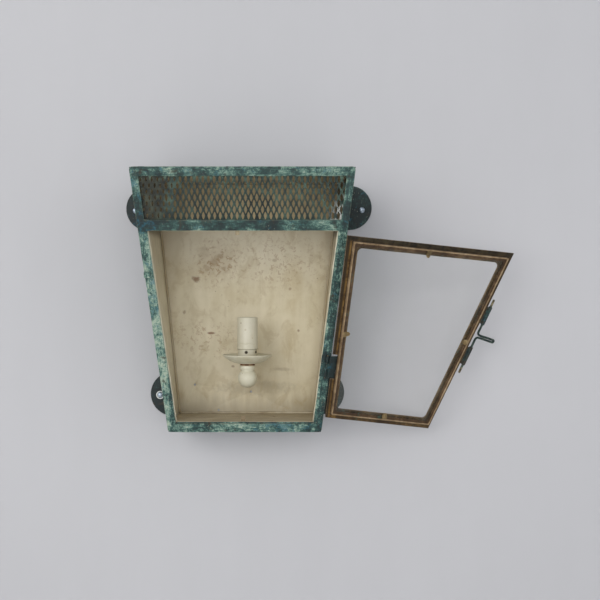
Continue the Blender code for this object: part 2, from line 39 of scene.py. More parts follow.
# ================================================================ shape numbers (mm), as in the part
Z_TOP, Z_BOT, D_TOP, D_BOT, W_TOP, W_BOT, SIDE_C = 167.0, -167.4, 184.8, 98.0, 138.5, 99.8, -0.0488
SHEET, GAP, BAR, CORNER = 1.3, 0.3, 3.0, 4.0
SLOPE_L = math.hypot(D_TOP - D_BOT, Z_TOP - Z_BOT)
E_T = Vector((0.0, (D_TOP - D_BOT) / SLOPE_L, -(Z_TOP - Z_BOT) / SLOPE_L))
E_N = Vector((0.0, E_T.z, -E_T.y))
E_S = Vector((1.0, 0.0, 0.0))
FRONT0 = Vector((0.0, -D_TOP, Z_TOP))
T_TOPRAIL, T_GRILLE_END, T_MID_END, T_BOTRAIL = 11.6, 65.7, 79.2, 333.6
HALF_SLOPE = (W_TOP - W_BOT) / SLOPE_L
DOOR = [(-125.4, 73.4), (120.7, 80.8), (87.6, 324.6), (-74.8, 331.8)]
N0, N1 = 0.8, 2.3
RIM_U0, RIM_U1, RIM_DEPTH, BAND_U, GLASS_U = 6.2, 8.0, 4.2, 14.5, 9.0
OPEN_ANGLE, HINGE_TILT = math.radians(201.8), math.radians(2.0)
HINGE_S, HINGE_T, HINGE_N, HINGE_LEN, HINGE_R = 104.8, 254.8, 2.75, 29.0, 1.7
LATCH_OFF, LATCH_N, LATCH_ROD_R, LATCH_TUBE_R, LATCH_BEND, LATCH_HANDLE = 6.4, 3.6, 1.4, 2.7, 4.0, 30.0
LATCH_T = dict(rod=(140.0, 246.0), upper=(149.5, 175.5), lower=(208.5, 235.0), handle=192.0)
LX, LY, HOLDER_R, DISH_R, BALL_Z, BALL_R = 2.3, -58.0, 13.9, 33.5, -99.9, 13.0
EARS = {
    "ear_top_left": (-138.1, 132.2, -155.6, 129.4), "ear_top_right": (143.2, 133.6, 160.4, 130.3),
    "ear_bottom_left": (-103.8, -126.1, -121.3, -127.8), "ear_bottom_right": (104.7, -124.0, 122.2, -126.0),
}
EAR_R, EAR_T, FLOOR_Z = 30.8, 3.0, -153.2
ROOF_Z0, ROOF_Z1 = 165.6, 167.1
N_BACK = -BAR - GAP
YB = -SHEET - GAP - 0.2


def front(s, t, n=0.0):
    return FRONT0 + E_S * s + E_T * t + E_N * n


def half(t):
    return W_TOP - HALF_SLOPE * t


def side_x(y, z):
    b = ((W_TOP - W_BOT) - SIDE_C * (-D_TOP + D_BOT)) / (Z_TOP - Z_BOT)
    a = W_TOP - b * Z_TOP - SIDE_C * -D_TOP
    return a + b * z + SIDE_C * y


def y_behind(z, n=N_BACK):
    t = (front(0, 0, n).z - z) / -E_T.z
    return (front(0, 0, n) + E_T * t).y


AXIS_DIR = (front(half(0), 0) - front(half(SLOPE_L), SLOPE_L)).normalized()
AXIS_DIR.rotate(Quaternion(AXIS_DIR.cross(E_N).normalized(), HINGE_TILT))
AXIS_P = front(HINGE_S, HINGE_T, HINGE_N)
RD = Quaternion(AXIS_DIR, OPEN_ANGLE)


def opened(p):
    return AXIS_P + RD @ (p - AXIS_P)


def dfront(s, t, n=0.0):
    return opened(front(s, t, n))


def wallp(x, z, d):
    return Vector((x, -d, z))


# ================================================================ mesh tools
def lin(c):
    c = c / 255.0
    return c / 12.92 if c <= 0.04045 else ((c + 0.055) / 1.055) ** 2.4


def rgb(r, g, b):
    return (lin(r), lin(g), lin(b), 1.0)


def finish(name, bm, mats, body, nodes=(), angle=38, by_edge=None):
    """A mesh in world mm becomes a piece: materials, smooth shading and body."""
    bmesh.ops.recalc_face_normals(bm, faces=bm.faces)
    if bm.calc_volume(signed=True) < 0:
        bmesh.ops.reverse_faces(bm, faces=bm.faces)
    for f in bm.faces:
        f.smooth = True
    if by_edge:
        bm.normal_update()
        for f in bm.faces:
            f.material_index = by_edge(f)
    bmesh.ops.scale(bm, vec=(MM, MM, MM), verts=bm.verts)
    me = bpy.data.meshes.new(name)
    bm.to_mesh(me)
    bm.free()
    me.set_sharp_from_angle(angle=math.radians(angle))
    for m in mats if isinstance(mats, (list, tuple)) else [mats]:
        me.materials.append(m)
    o = bpy.data.objects.new(name, me)
    sc.collection.objects.link(o)
    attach(o, body)
    if nodes:
        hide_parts(*nodes)
    return o


def loft(rings, closed_ends=True, bm=None):
    bm = bm or bmesh.new()
    vs = [[bm.verts.new(p) for p in ring] for ring in rings]
    n = len(rings[0])
    for a, b in zip(vs[:-1], vs[1:]):
        for i in range(n):
            bm.faces.new((a[i], a[(i + 1) % n], b[(i + 1) % n], b[i]))
    if closed_ends:
        bm.faces.new(list(reversed(vs[0])))
        bm.faces.new(vs[-1])
    return bm


def frame_of(axis):
    axis = axis.normalized()
    ref = Vector((0, 0, 1)) if abs(axis.z) < 0.8 else Vector((1, 0, 0))
    u = axis.cross(ref).normalized()
    return u, axis.cross(u).normalized(), axis


def turned(profile, origin, axis, seg=40, bm=None):
    """Profile of (radius, height) turned round an axis; open profiles start and end on it."""
    bm = bm or bmesh.new()
    u, v, w = frame_of(axis)
    cols = []
    for k in range(seg):
        a = 2 * math.pi * k / seg
        d = u * math.cos(a) + v * math.sin(a)
        cols.append([None if r == 0.0 else bm.verts.new(origin + d * r + w * z) for r, z in profile])
    tips = {i: bm.verts.new(origin + w * z) for i, (r, z) in enumerate(profile) if r == 0.0}
    n = len(profile)
    on_axis = profile[0][0] == 0.0
    pairs = [(i, i + 1) for i in range(n - 1)] + ([] if on_axis else [(n - 1, 0)])
    for k in range(seg):
        a, b = cols[k], cols[(k + 1) % seg]
        for i, j in pairs:
            out = []
            for q in (a[i] or tips[i], b[i] or tips[i], b[j] or tips[j], a[j] or tips[j]):
                if q not in out:
                    out.append(q)
            if len(out) > 2:
                bm.faces.new(out)
    return bm


def wire(points, radius, seg=14, bm=None, rfun=None):
    """Round wire through points, with rounded ends."""
    pts = [Vector(p) for p in points]
    d0, d1 = (pts[0] - pts[1]).normalized(), (pts[-1] - pts[-2]).normalized()
    r_of = rfun or (lambda i: radius)
    u = frame_of(pts[1] - pts[0])[0]
    rings = []
    for k, f in ((0.92, 0.35), (0.6, 0.78)):
        rings.append([pts[0] + d0 * (radius * k * 0.8), None, radius * f])
    body = []
    for i, p in enumerate(pts):
        d = (pts[min(i + 1, len(pts) - 1)] - pts[max(i - 1, 0)]).normalized()
        u = (u - d * u.dot(d)).normalized()
        body.append((p, d, u.copy(), r_of(i)))
    seq = [(pts[0] + d0 * (radius * 0.75), body[0][1], body[0][2], radius * 0.45), (pts[0] + d0 * (radius * 0.4), body[0][1], body[0][2], radius * 0.85)]
    seq += body
    seq += [(pts[-1] + d1 * (radius * 0.4), body[-1][1], body[-1][2], radius * 0.85), (pts[-1] + d1 * (radius * 0.75), body[-1][1], body[-1][2], radius * 0.45)]
    out = []
    for p, d, uu, r in seq:
        w = d.cross(uu)
        out.append([p + uu * (r * math.cos(2 * math.pi * j / seg)) + w * (r * math.sin(2 * math.pi * j / seg)) for j in range(seg)])
    return loft(out, True, bm)


def rounded(pts, r, n=6):
    """The polygon with each corner turned into an arc."""
    out = []
    m = len(pts)
    for i in range(m):
        rr = r[i] if isinstance(r, (list, tuple)) else r
        p0, p1, p2 = Vector(pts[i - 1]), Vector(pts[i]), Vector(pts[(i + 1) % m])
        if rr <= 0:
            out.append((p1.x, p1.y))
            continue
        a, b = (p0 - p1).normalized(), (p2 - p1).normalized()
        ang = a.angle(b)
        d = rr / math.tan(ang / 2)
        c = p1 + (a + b).normalized() * (rr / math.sin(ang / 2))
        s0, s1 = p1 + a * d - c, p1 + b * d - c
        tot = s0.angle_signed(s1)
        for k in range(n + 1):
            q = s0.copy()
            q.rotate(Matrix.Rotation(-tot * k / n, 2))
            out.append((c.x + q.x, c.y + q.y))
    return out


def wavy(poly, step, amp, seed):
    """Resample the outline and let its edge wander a little, as hand-cut sheet does."""
    out = []
    m = len(poly)
    for i in range(m):
        a, b = Vector(poly[i]), Vector(poly[(i + 1) % m])
        L = (b - a).length
        k = max(1, int(L / step))
        e = (b - a).normalized()
        nrm = Vector((-e.y, e.x))
        for j in range(k):
            p = a.lerp(b, j / k)
            w = noise.noise(Vector((p.x * 0.06, p.y * 0.06, seed))) + 0.5 * noise.noise(Vector((p.x * 0.25, p.y * 0.25, seed + 7)))
            p = p + nrm * (w * amp)
            out.append((p.x, p.y))
    return out


def plate(outline, holes, n0, n1, bevel, place, res=2):
    """Flat plate with holes and rounded edges, placed by place(x, y, n)."""
    cu = bpy.data.curves.new("tmp_curve", "CURVE")
    cu.dimensions = "2D"
    cu.fill_mode = "BOTH"
    cu.extrude = (n1 - n0) / 2 - bevel
    cu.bevel_depth = bevel
    cu.bevel_resolution = res
    cu.offset = -bevel
    for poly in [outline] + list(holes):
        sp = cu.splines.new("POLY")
        sp.points.add(len(poly) - 1)
        for i, p in enumerate(poly):
            sp.points[i].co = (p[0], p[1], 0, 1)
        sp.use_cyclic_u = True
    o = bpy.data.objects.new("tmp_curve", cu)
    sc.collection.objects.link(o)
    dg = bpy.context.evaluated_depsgraph_get()
    dg.update()
    me = bpy.data.meshes.new_from_object(o.evaluated_get(dg))
    bpy.data.objects.remove(o, do_unlink=True)
    bpy.data.curves.remove(cu)
    bm = bmesh.new()
    bm.from_mesh(me)
    bpy.data.meshes.remove(me)
    bmesh.ops.remove_doubles(bm, verts=bm.verts, dist=0.004)
    mid = (n0 + n1) / 2
    for v in bm.verts:
        v.co = place(v.co.x, v.co.y, mid + v.co.z)
    return bm


def merge(*bms):
    out = bmesh.new()
    for b in bms:
        me = bpy.data.meshes.new("tmp")
        b.to_mesh(me)
        b.free()
        out.from_mesh(me)
        bpy.data.meshes.remove(me)
    return out


def bevelled(bm, width=0.3, seg=2, angle=30):
    bmesh.ops.recalc_face_normals(bm, faces=bm.faces)
    edges = [e for e in bm.edges if len(e.link_faces) == 2 and e.calc_face_angle(0) > math.radians(angle)]
    bmesh.ops.bevel(bm, geom=edges, offset=width, segments=seg, profile=0.5, affect="EDGES", clamp_overlap=True)
    return bm


def combine(a, b, op):
    objs = []
    for bm in (a, b):
        bmesh.ops.recalc_face_normals(bm, faces=bm.faces)
        me = bpy.data.meshes.new("tmp")
        bm.to_mesh(me)
        bm.free()
        o = bpy.data.objects.new("tmp", me)
        sc.collection.objects.link(o)
        objs.append(o)
    m = objs[0].modifiers.new("b", "BOOLEAN")
    m.operation, m.solver, m.object = op, "EXACT", objs[1]
    dg = bpy.context.evaluated_depsgraph_get()
    dg.update()
    out = bmesh.new()
    out.from_mesh(objs[0].evaluated_get(dg).to_mesh())
    for o in objs:
        bpy.data.objects.remove(o, do_unlink=True)
    return out


def inset(poly, d):
    c = Vector((sum(p[0] for p in poly) / 4, sum(p[1] for p in poly) / 4))
    lines = []
    for i in range(4):
        a, b = Vector(poly[i]), Vector(poly[(i + 1) % 4])
        e = (b - a).normalized()
        nrm = Vector((-e.y, e.x))
        if (c - a).dot(nrm) < 0:
            nrm = -nrm
        lines.append((a + nrm * d, e))
    out = []
    for i in range(4):
        (p, e), (q, f) = lines[i - 1], lines[i]
        den = e.x * f.y - e.y * f.x
        k = ((q.x - p.x) * f.y - (q.y - p.y) * f.x) / den
        out.append(p + e * k)
    return out


# ================================================================ materials
class Mat:
    def __init__(self, name):
        self.m = bpy.data.materials.new(name)
        self.m.use_nodes = True
        self.nt = self.m.node_tree
        self.b = self.nt.nodes["Principled BSDF"]
        self.co = self.nt.nodes.new("ShaderNodeTexCoord").outputs["Object"]

    def set(self, key, v):
        s = self.b.inputs[key]
        if isinstance(v, (int, float, tuple)):
            s.default_value = v
        else:
            self.nt.links.new(v, s)

    def _in(self, node, idx, v):
        if isinstance(v, (int, float, tuple)):
            node.inputs[idx].default_value = v
        elif v is not None:
            self.nt.links.new(v, node.inputs[idx])

    def scaled(self, sx, sy, sz, off=(0, 0, 0)):
        n = self.nt.nodes.new("ShaderNodeMapping")
        n.inputs["Scale"].default_value = (sx, sy, sz)
        n.inputs["Location"].default_value = off
        self.nt.links.new(self.co, n.inputs["Vector"])
        return n.outputs["Vector"]

    def noise(self, scale, detail=6.0, rough=0.6, dist=0.0, vec=None):
        n = self.nt.nodes.new("ShaderNodeTexNoise")
        n.inputs["Scale"].default_value = scale
        n.inputs["Detail"].default_value = detail
        n.inputs["Roughness"].default_value = rough
        n.inputs["Distortion"].default_value = dist
        self.nt.links.new(vec or self.co, n.inputs["Vector"])
        return n.outputs["Fac"]

    def voronoi(self, scale, vec=None, rnd=1.0):
        n = self.nt.nodes.new("ShaderNodeTexVoronoi")
        n.inputs["Scale"].default_value = scale
        n.inputs["Randomness"].default_value = rnd
        self.nt.links.new(vec or self.co, n.inputs["Vector"])
        return n.outputs["Distance"]

    def math(self, op, a, b=None, clamp=False):
        n = self.nt.nodes.new("ShaderNodeMath")
        n.operation = op
        n.use_clamp = clamp
        self._in(n, 0, a)
        self._in(n, 1, b)
        return n.outputs[0]

    def add(self, *v):
        out = v[0]
        for x in v[1:]:
            out = self.math("ADD", out, x)
        return out

    def mul(self, *v):
        out = v[0]
        for x in v[1:]:
            out = self.math("MULTIPLY", out, x)
        return out

    def xyz(self):
        n = self.nt.nodes.new("ShaderNodeSeparateXYZ")
        self.nt.links.new(self.co, n.inputs[0])
        return n.outputs[0], n.outputs[1], n.outputs[2]

    def step(self, v, a, b, lo=0.0, hi=1.0):
        """Smooth step of v from a to b, giving lo to hi."""
        n = self.nt.nodes.new("ShaderNodeMapRange")
        n.interpolation_type = "SMOOTHSTEP"
        n.inputs["From Min"].default_value = min(a, b)
        n.inputs["From Max"].default_value = max(a, b)
        n.inputs["To Min"].default_value = lo if a < b else hi
        n.inputs["To Max"].default_value = hi if a < b else lo
        self.nt.links.new(v, n.inputs["Value"])
        return n.outputs["Result"]

    def ramp(self, fac, stops):
        n = self.nt.nodes.new("ShaderNodeValToRGB")
        els = n.color_ramp.elements
        while len(els) < len(stops):
            els.new(0.5)
        for e, (p, c) in zip(els, stops):
            e.position = p
            e.color = c
        self.nt.links.new(fac, n.inputs["Fac"])
        return n.outputs["Color"]

    def mix(self, fac, a, b, blend="MIX"):
        n = self.nt.nodes.new("ShaderNodeMix")
        n.data_type = "RGBA"
        n.blend_type = blend
        n.clamp_factor = True
        self._in(n, 0, fac)
        self._in(n, 6, a)
        self._in(n, 7, b)
        return n.outputs[2]

    def bump(self, height, strength, dist=0.0004):
        n = self.nt.nodes.new("ShaderNodeBump")
        n.inputs["Strength"].default_value = strength
        n.inputs["Distance"].default_value = dist
        self.nt.links.new(height, n.inputs["Height"])
        self.nt.links.new(n.outputs["Normal"], self.b.inputs["Normal"])

    def along(self, d, p0):
        """Distance (m) from p0 (mm) along the direction d."""
        n = self.nt.nodes.new("ShaderNodeVectorMath")
        n.operation = "DOT_PRODUCT"
        self.nt.links.new(self.co, n.inputs[0])
        n.inputs[1].default_value = tuple(d)
        return self.math("SUBTRACT", n.outputs["Value"], d.dot(p0) * MM)

    def spot(self, cx, cz, rx, rz, soft=0.5, wob=0.35):
        """Round stain on the back plate, with an uneven edge."""
        x, _, z = self.xyz()
        dx = self.mul(self.math("SUBTRACT", x, cx * MM), 1.0 / (rx * MM))
        dz = self.mul(self.math("SUBTRACT", z, cz * MM), 1.0 / (rz * MM))
        d = self.math("SQRT", self.add(self.mul(dx, dx), self.mul(dz, dz)))
        d = self.add(d, self.mul(self.math("SUBTRACT", self.noise(190.0, 6.0, 0.7), 0.5), wob * 6))
        return self.step(d, 1.0 + soft, 1.0 - soft)


TEAL_DEEP, TEAL, TEAL_MID = rgb(14, 31, 31), rgb(27, 53, 51), rgb(48, 83, 77)
VERD, VERD_PALE, BLUE, BROWN = rgb(104, 136, 123), rgb(166, 180, 161), rgb(28, 92, 112), rgb(54, 46, 30)


def patina(name, pale=0.0, blue=0.0, zones=False, edge=False, grime=0.0, rough=0.62):
    m = Mat(name)
    x, y, z = m.xyz()
    big = m.noise(34.0, 4.0, 0.55, 0.4)
    mid = m.noise(210.0, 7.0, 0.72, 0.5)
    fine = m.noise(900.0, 5.0, 0.72)
    # brush marks follow the bar: upright on the sides, level on the rails
    up = m.noise(1.0, 6.0, 0.72, 0.5, m.scaled(620, 120, 105))
    level = m.noise(1.0, 6.0, 0.72, 0.5, m.scaled(95, 120, 620))
    ax = m.math("ABSOLUTE", x)
    is_side = m.step(m.math("SUBTRACT", ax, m.add(m.mul(z, 0.1158), 0.1085)), -0.001, 0.001)
    brush = m.add(m.mul(up, is_side), m.mul(level, m.math("SUBTRACT", 1.0, is_side)))
    v = m.add(m.mul(mid, 0.42), m.mul(brush, 0.33), m.mul(fine, 0.25), m.mul(m.math("SUBTRACT", big, 0.5), 0.40), pale - 0.034)
    if zones:
        v = m.add(v, m.mul(m.step(x, -0.094, -0.100), m.step(z, 0.105, 0.080), 0.075))        # left bar
        v = m.add(v, m.mul(m.step(z, -0.152, -0.157), 0.030))                                    # bottom rail
        v = m.add(v, m.mul(m.step(z, 0.152, 0.158), 0.010))                                      # top rail
        v = m.add(v, m.mul(m.step(z, 0.088, 0.091), m.step(z, 0.106, 0.103), -0.026))            # middle rail
        # the inner edge of the right bar is flaked
        v = m.add(v, m.mul(m.step(m.math("SUBTRACT", x, m.add(m.mul(z, 0.1158), 0.1105)), 0.0015, -0.001), m.step(x, 0.08, 0.09), 0.045))
    col = m.ramp(v, [(0.38, TEAL_DEEP), (0.445, TEAL), (0.50, TEAL_MID), (0.545, VERD), (0.62, VERD_PALE)])
    bl = m.noise(75.0, 5.0, 0.65, 1.0, m.scaled(1, 1, 1, (3.1, 0, 1.7)))
    if zones:
        bl = m.add(bl, m.mul(m.step(z, -0.150, -0.157), m.step(x, -0.02, 0.02), 0.10), m.mul(m.step(x, -0.096, -0.102), 0.065))
    col = m.mix(m.mul(m.step(bl, 0.60 - blue, 0.66 - blue), m.step(mid, 0.38, 0.56), 0.6), col, BLUE)
    br = m.noise(95.0, 5.0, 0.65, 0.5, m.scaled(1, 1, 1, (9.0, 4.0, 0)))
    col = m.mix(m.mul(m.step(br, 0.58 - grime, 0.68 - grime), 0.75), col, BROWN)
    if edge:
        col = m.mix(m.mul(m.step(m.noise(230.0, 5.0), 0.42, 0.60), 0.85), col, rgb(140, 150, 128))
    specks = m.step(m.voronoi(330.0), 0.15, 0.08)
    col = m.mix(m.mul(specks, m.step(m.noise(60.0, 3.0), 0.48, 0.58), 0.85), col, rgb(186, 192, 172))
    m.set("Base Color", col)
    m.set("Metallic", 0.0)
    m.set("Roughness", m.add(m.mul(mid, 0.25), rough - 0.12))
    m.bump(m.add(mid, m.mul(brush, 0.8), m.mul(fine, 0.3)), 0.5, 0.0005)
    return m.m


def cream(name, base, dirt=0.0, back=False, sides=False, gloss=0.55, floor=False):
    m = Mat(name)
    x, y, z = m.xyz()
    big = m.noise(9.0, 5.0, 0.55, 0.4)
    mid = m.noise(38.0, 6.0, 0.62, 0.3)
    fine = m.noise(300.0, 5.0, 0.6)
    drip = m.noise(1.0, 5.0, 0.6, 0.2, m.scaled(70, 70, 9))
    r, g, b, _ = base
    light = (min(1, r * 1.13), min(1, g * 1.14), min(1, b * 1.2), 1)
    dark = (r * 0.80, g * 0.74, b * 0.62, 1)
    v = m.add(m.mul(big, 0.45), m.mul(mid, 0.3), m.mul(drip, 0.25), -dirt)
    col = m.ramp(v, [(0.34, dark), (0.5, base), (0.64, light)])
    spk = m.mul(m.step(m.voronoi(150.0), 0.13, 0.06), m.step(m.noise(24.0, 3.0, 0.5, 0.0, m.scaled(1, 1, 1, (2, 5, 1))), 0.55, 0.66))
    col = m.mix(m.mul(spk, 0.75), col, rgb(112, 82, 44))
    if back:
        # a browner band high up, painted light over the upper middle, painted shade in the upper corners and along the
        # side creases, grey dust along the bottom
        top = m.mul(m.step(m.add(z, m.mul(mid, 0.03)), 0.112, 0.135), 0.9)
        col = m.mix(top, col, rgb(222, 202, 160))
        # painted light: the upper middle of the back plate is lifted towards near-white to offset the shade cast by the
        # middle rail
        hi = m.mul(m.step(z, 0.010, 0.085), m.step(z, 0.118, 0.108), 0.75)
        col = m.mix(hi, col, m.mix(0.35, col, rgb(255, 250, 236)))
        # painted shade: the upper corners of the back plate are darkened to brown
        corner = m.mul(m.step(m.math("ABSOLUTE", x), 0.098, 0.128), m.step(z, 0.055, 0.105), 0.5)
        col = m.mix(corner, col, rgb(150, 122, 74))
        low = m.step(m.add(z, m.mul(m.math("SUBTRACT", drip, 0.5), 0.03)), -0.118, -0.152)
        col = m.mix(m.mul(low, 0.5), col, rgb(150, 140, 122))
        # painted shade: darker strips along the creases where the back plate meets the side sheets
        edge_l = m.step(m.add(x, m.mul(z, -0.116)), -0.093, -0.108)
        edge_r = m.step(m.math("SUBTRACT", x, m.mul(z, 0.116)), 0.094, 0.108)
        col = m.mix(m.mul(m.add(edge_l, edge_r), 0.25), col, rgb(150, 132, 98))
        arc = m.mul(m.spot(12, -118, 46, 9, 0.6, 0.3), 0.35)
        col = m.mix(arc, col, rgb(126, 112, 88))
        patch = m.math("MAXIMUM", m.spot(-42, 58, 34, 30, 0.7, 0.1), m.mul(m.spot(-60, -46, 40, 22, 0.8, 0.1), 0.8))
        patch = m.math("MAXIMUM", patch, m.mul(m.spot(40, 60, 60, 32, 0.8, 0.1), 0.75))
        dots = m.step(m.noise(165.0, 6.0, 0.68, 0.6), 0.53, 0.61)
        col = m.mix(m.mul(patch, dots, 0.62), col, rgb(156, 118, 72))
        veil = m.step(m.noise(46.0, 6.0, 0.62, 0.8, m.scaled(1, 1, 0.7, (4, 0, 2))), 0.52, 0.66)
        col = m.mix(m.mul(veil, 0.28), col, rgb(170, 148, 104))
        for cx, cz, rx, rz, k, c in (
                (-71.7, 34.2, 5.0, 3.6, 0.75, rgb(118, 74, 34)), (-50, -41.4, 5.5, 1.4, 0.8, rgb(122, 78, 40)),
                (-38, 66, 4.2, 3.2, 0.45, rgb(140, 102, 60)), (-46, 57, 6, 4.6, 0.4, rgb(146, 108, 64)), (-57, 50, 4.6, 4.0, 0.35, rgb(146, 108, 64)),
                (-33, 49, 3.4, 3.0, 0.4, rgb(138, 98, 56)), (-62, 72, 9, 7, 0.15, rgb(140, 108, 64)), (-40, 60, 26, 24, 0.22, rgb(140, 112, 70)),
                (60, 20, 2.0, 2.0, 0.5, rgb(128, 88, 48)), (72, -38, 1.6, 1.8, 0.6, rgb(120, 84, 48)), (-88, -12, 2.0, 2.4, 0.5, rgb(120, 84, 48)),
                (38, 60, 3.0, 2.0, 0.35, rgb(138, 104, 62)), (-20, -88, 2.2, 1.6, 0.5, rgb(120, 84, 48)), (50, -92, 12, 2.2, 0.22, rgb(120, 96, 60))):
            col = m.mix(m.mul(m.spot(cx, cz, rx, rz), k), col, c)
    if floor:
        rows = m.noise(1.0, 5.0, 0.7, 0.3, m.scaled(12, 420, 60))
        col = m.mix(m.mul(m.step(rows, 0.47, 0.56), 0.55), col, rgb(118, 98, 76))
        col = m.mix(m.mul(m.step(rows, 0.44, 0.36), 0.5), col, rgb(214, 206, 188))
        red = m.step(m.noise(60.0, 6.0, 0.7, 0.3, m.scaled(1, 1, 1, (7, 3, 1))), 0.58, 0.68)
        col = m.mix(m.mul(red, 0.5), col, rgb(112, 74, 46))
    if sides:
        # painted shade: the tops of both side sheets near the roof are darkened, the right one almost to black
        right_top = m.mul(m.step(x, 0.112, 0.122), m.step(z, 0.085, 0.100))
        col = m.mix(m.mul(right_top, 0.85), col, rgb(34, 28, 18))
        left_top = m.mul(m.step(x, -0.110, -0.120), m.step(z, 0.085, 0.100))
        col = m.mix(m.mul(left_top, 0.7), col, rgb(60, 46, 26))
        grey = m.noise(1.0, 6.0, 0.7, 0.3, m.scaled(60, 120, 40))
        col = m.mix(m.mul(m.step(grey, 0.42, 0.66), 0.28), col, rgb(170, 164, 144))
        low = m.step(m.add(z, m.mul(grey, 0.02)), -0.125, -0.150)
        col = m.mix(m.mul(low, 0.35), col, rgb(136, 116, 92))
    m.set("Base Color", col)
    m.set("Roughness", m.add(m.mul(mid, 0.2), gloss - 0.1))
    m.bump(m.add(mid, m.mul(fine, 0.25)), 0.25, 0.0005)
    return m.m


def brassy(name, dark, mid_c, light, pale=0.0, metal=0.45, rough=0.48, green=0.0, flange=False):
    m = Mat(name)
    big = m.noise(22.0, 5.0, 0.6, 0.5)
    mid = m.noise(110.0, 7.0, 0.66, 0.4)
    fine = m.noise(520.0, 5.0, 0.7)
    v = m.add(m.mul(big, 0.38), m.mul(mid, 0.42), m.mul(fine, 0.2), pale)
    col = m.ramp(v, [(0.37, dark), (0.5, mid_c), (0.63, light)])
    if green:
        gm = m.noise(70.0, 5.0, 0.6, 0.6, m.scaled(1, 1, 1, (5, 2, 8)))
        col = m.mix(m.mul(m.step(gm, 0.62 - green, 0.72 - green), 0.8), col, rgb(64, 92, 80))
    scr = m.noise(1.0, 3.0, 0.5, 0.0, m.scaled(60, 900, 60))
    if flange:
        # blackened along the door's top, golden beside the hinge
        t = m.along(RD @ E_T, opened(FRONT0))
        s_ = m.along(RD @ E_S, opened(FRONT0))
        top = m.step(m.add(m.math("SUBTRACT", t, m.mul(s_, 0.030)), m.mul(mid, 0.004)), 0.0870, 0.0830)
        col = m.mix(m.mul(top, 0.85), col, m.ramp(mid, [(0.4, rgb(22, 19, 12)), (0.6, rgb(62, 54, 36))]))
        hs = m.step(m.add(s_, m.mul(t, 0.1345)), 0.1150, 0.1190)
        col = m.mix(m.mul(hs, m.math("SUBTRACT", 1.0, top), 0.75), col, m.ramp(mid, [(0.38, rgb(84, 60, 28)), (0.6, rgb(144, 112, 60))]))
        # painted shade: a dark strip along the flange's outer edge on the hinge side, where the gap to the casing lies
        # in shadow
        hinge_gap_shade = m.step(m.add(s_, m.mul(t, 0.1358), m.mul(m.math("SUBTRACT", mid, 0.5), 0.004)), 0.1283, 0.1300)
        col = m.mix(m.mul(hinge_gap_shade, 0.85), col, rgb(34, 27, 16))
    m.set("Base Color", col)
    m.set("Metallic", metal)
    m.set("Roughness", m.add(m.mul(mid, 0.3), rough - 0.15))
    m.bump(m.add(mid, m.mul(fine, 0.4), m.mul(scr, 0.2)), 0.4, 0.0004)
    return m.m


GREEN_FRAME = patina("verdigris_frame", pale=0.005, zones=True)
GREEN_EDGE = patina("verdigris_worn_edge", pale=0.05, zones=True, edge=True)
GREEN_SHEET = patina("verdigris_sheet", pale=-0.01, grime=0.02)
GREEN_DARK = patina("dark_ear_paint", pale=-0.10, blue=-0.02, rough=0.6)
GREEN_EAR_EDGE = patina("ear_edge", pale=-0.03, rough=0.5)
CREAM_BACK = cream("cream_back", rgb(216, 206, 178), back=True)
CREAM_SIDE = cream("cream_sides", rgb(226, 219, 196), dirt=0.0, sides=True)
CREAM_LIP = cream("cream_lip", rgb(222, 216, 196), dirt=0.02)
CREAM_FLOOR = cream("cream_floor", rgb(190, 180, 156), dirt=0.03, floor=True)
CREAM_BEAD = cream("cream_bead", rgb(176, 164, 138), dirt=0.05)
CREAM_LAMP = cream("lamp_cream", rgb(206, 202, 180), dirt=0.0, gloss=0.32)
PLASTIC = cream("holder_plastic", rgb(204, 199, 178), dirt=0.0, gloss=0.30)
BRASS_DOOR = brassy("door_brass", rgb(44, 32, 22), rgb(86, 66, 46), rgb(128, 104, 76), green=0.02)
BRASS_FLANGE = brassy("door_flange_brass", rgb(38, 28, 16), rgb(78, 60, 34), rgb(124, 98, 60), pale=0.0, green=0.03, flange=True)
BRASS_RIDGE = brassy("door_ridge_brass", rgb(104, 82, 56), rgb(156, 132, 100), rgb(200, 178, 146), pale=0.0, metal=0.3)
# dark brown for the painted shadow line beside the door's upstand
GRIME_SHADOW = brassy("door_grime_shadow", rgb(18, 14, 9), rgb(34, 26, 16), rgb(60, 46, 28), metal=0.0, rough=0.75)
CLIP_GOLD = brassy("clip_gold", rgb(64, 52, 30), rgb(128, 108, 70), rgb(184, 164, 122), metal=0.25, rough=0.5)
CONTACT = brassy("contact_brass", rgb(110, 80, 36), rgb(170, 130, 66), rgb(205, 168, 98), metal=1.0, rough=0.35)
LATCH_GREEN = patina("latch_green", pale=-0.06, rough=0.5, grime=0.13)
HINGE_GREEN = patina("hinge_green", pale=-0.05, rough=0.5)


def rust(name):
    m = Mat(name)
    a = m.noise(300.0, 6.0, 0.7)
    m.set("Base Color", m.ramp(a, [(0.36, rgb(70, 38, 20)), (0.5, rgb(146, 92, 50)), (0.62, rgb(200, 176, 136))]))
    m.set("Roughness", 0.85)
    m.bump(a, 0.6, 0.0004)
    return m.m


def steel(name, c):
    m = Mat(name)
    a = m.noise(260.0, 6.0, 0.65)
    b = m.noise(1.0, 4.0, 0.6, 0.0, m.scaled(900, 200, 120))
    col = m.ramp(a, [(0.35, tuple(0.45 * v for v in c[:3]) + (1,)), (0.5, c), (0.66, tuple(min(1, 1.5 * v) for v in c[:3]) + (1,))])
    m.set("Base Color", col)
    m.set("Metallic", 0.75)
    m.set("Roughness", m.add(m.mul(b, 0.25), 0.28))
    m.bump(m.add(a, b), 0.25, 0.0003)
    return m.m


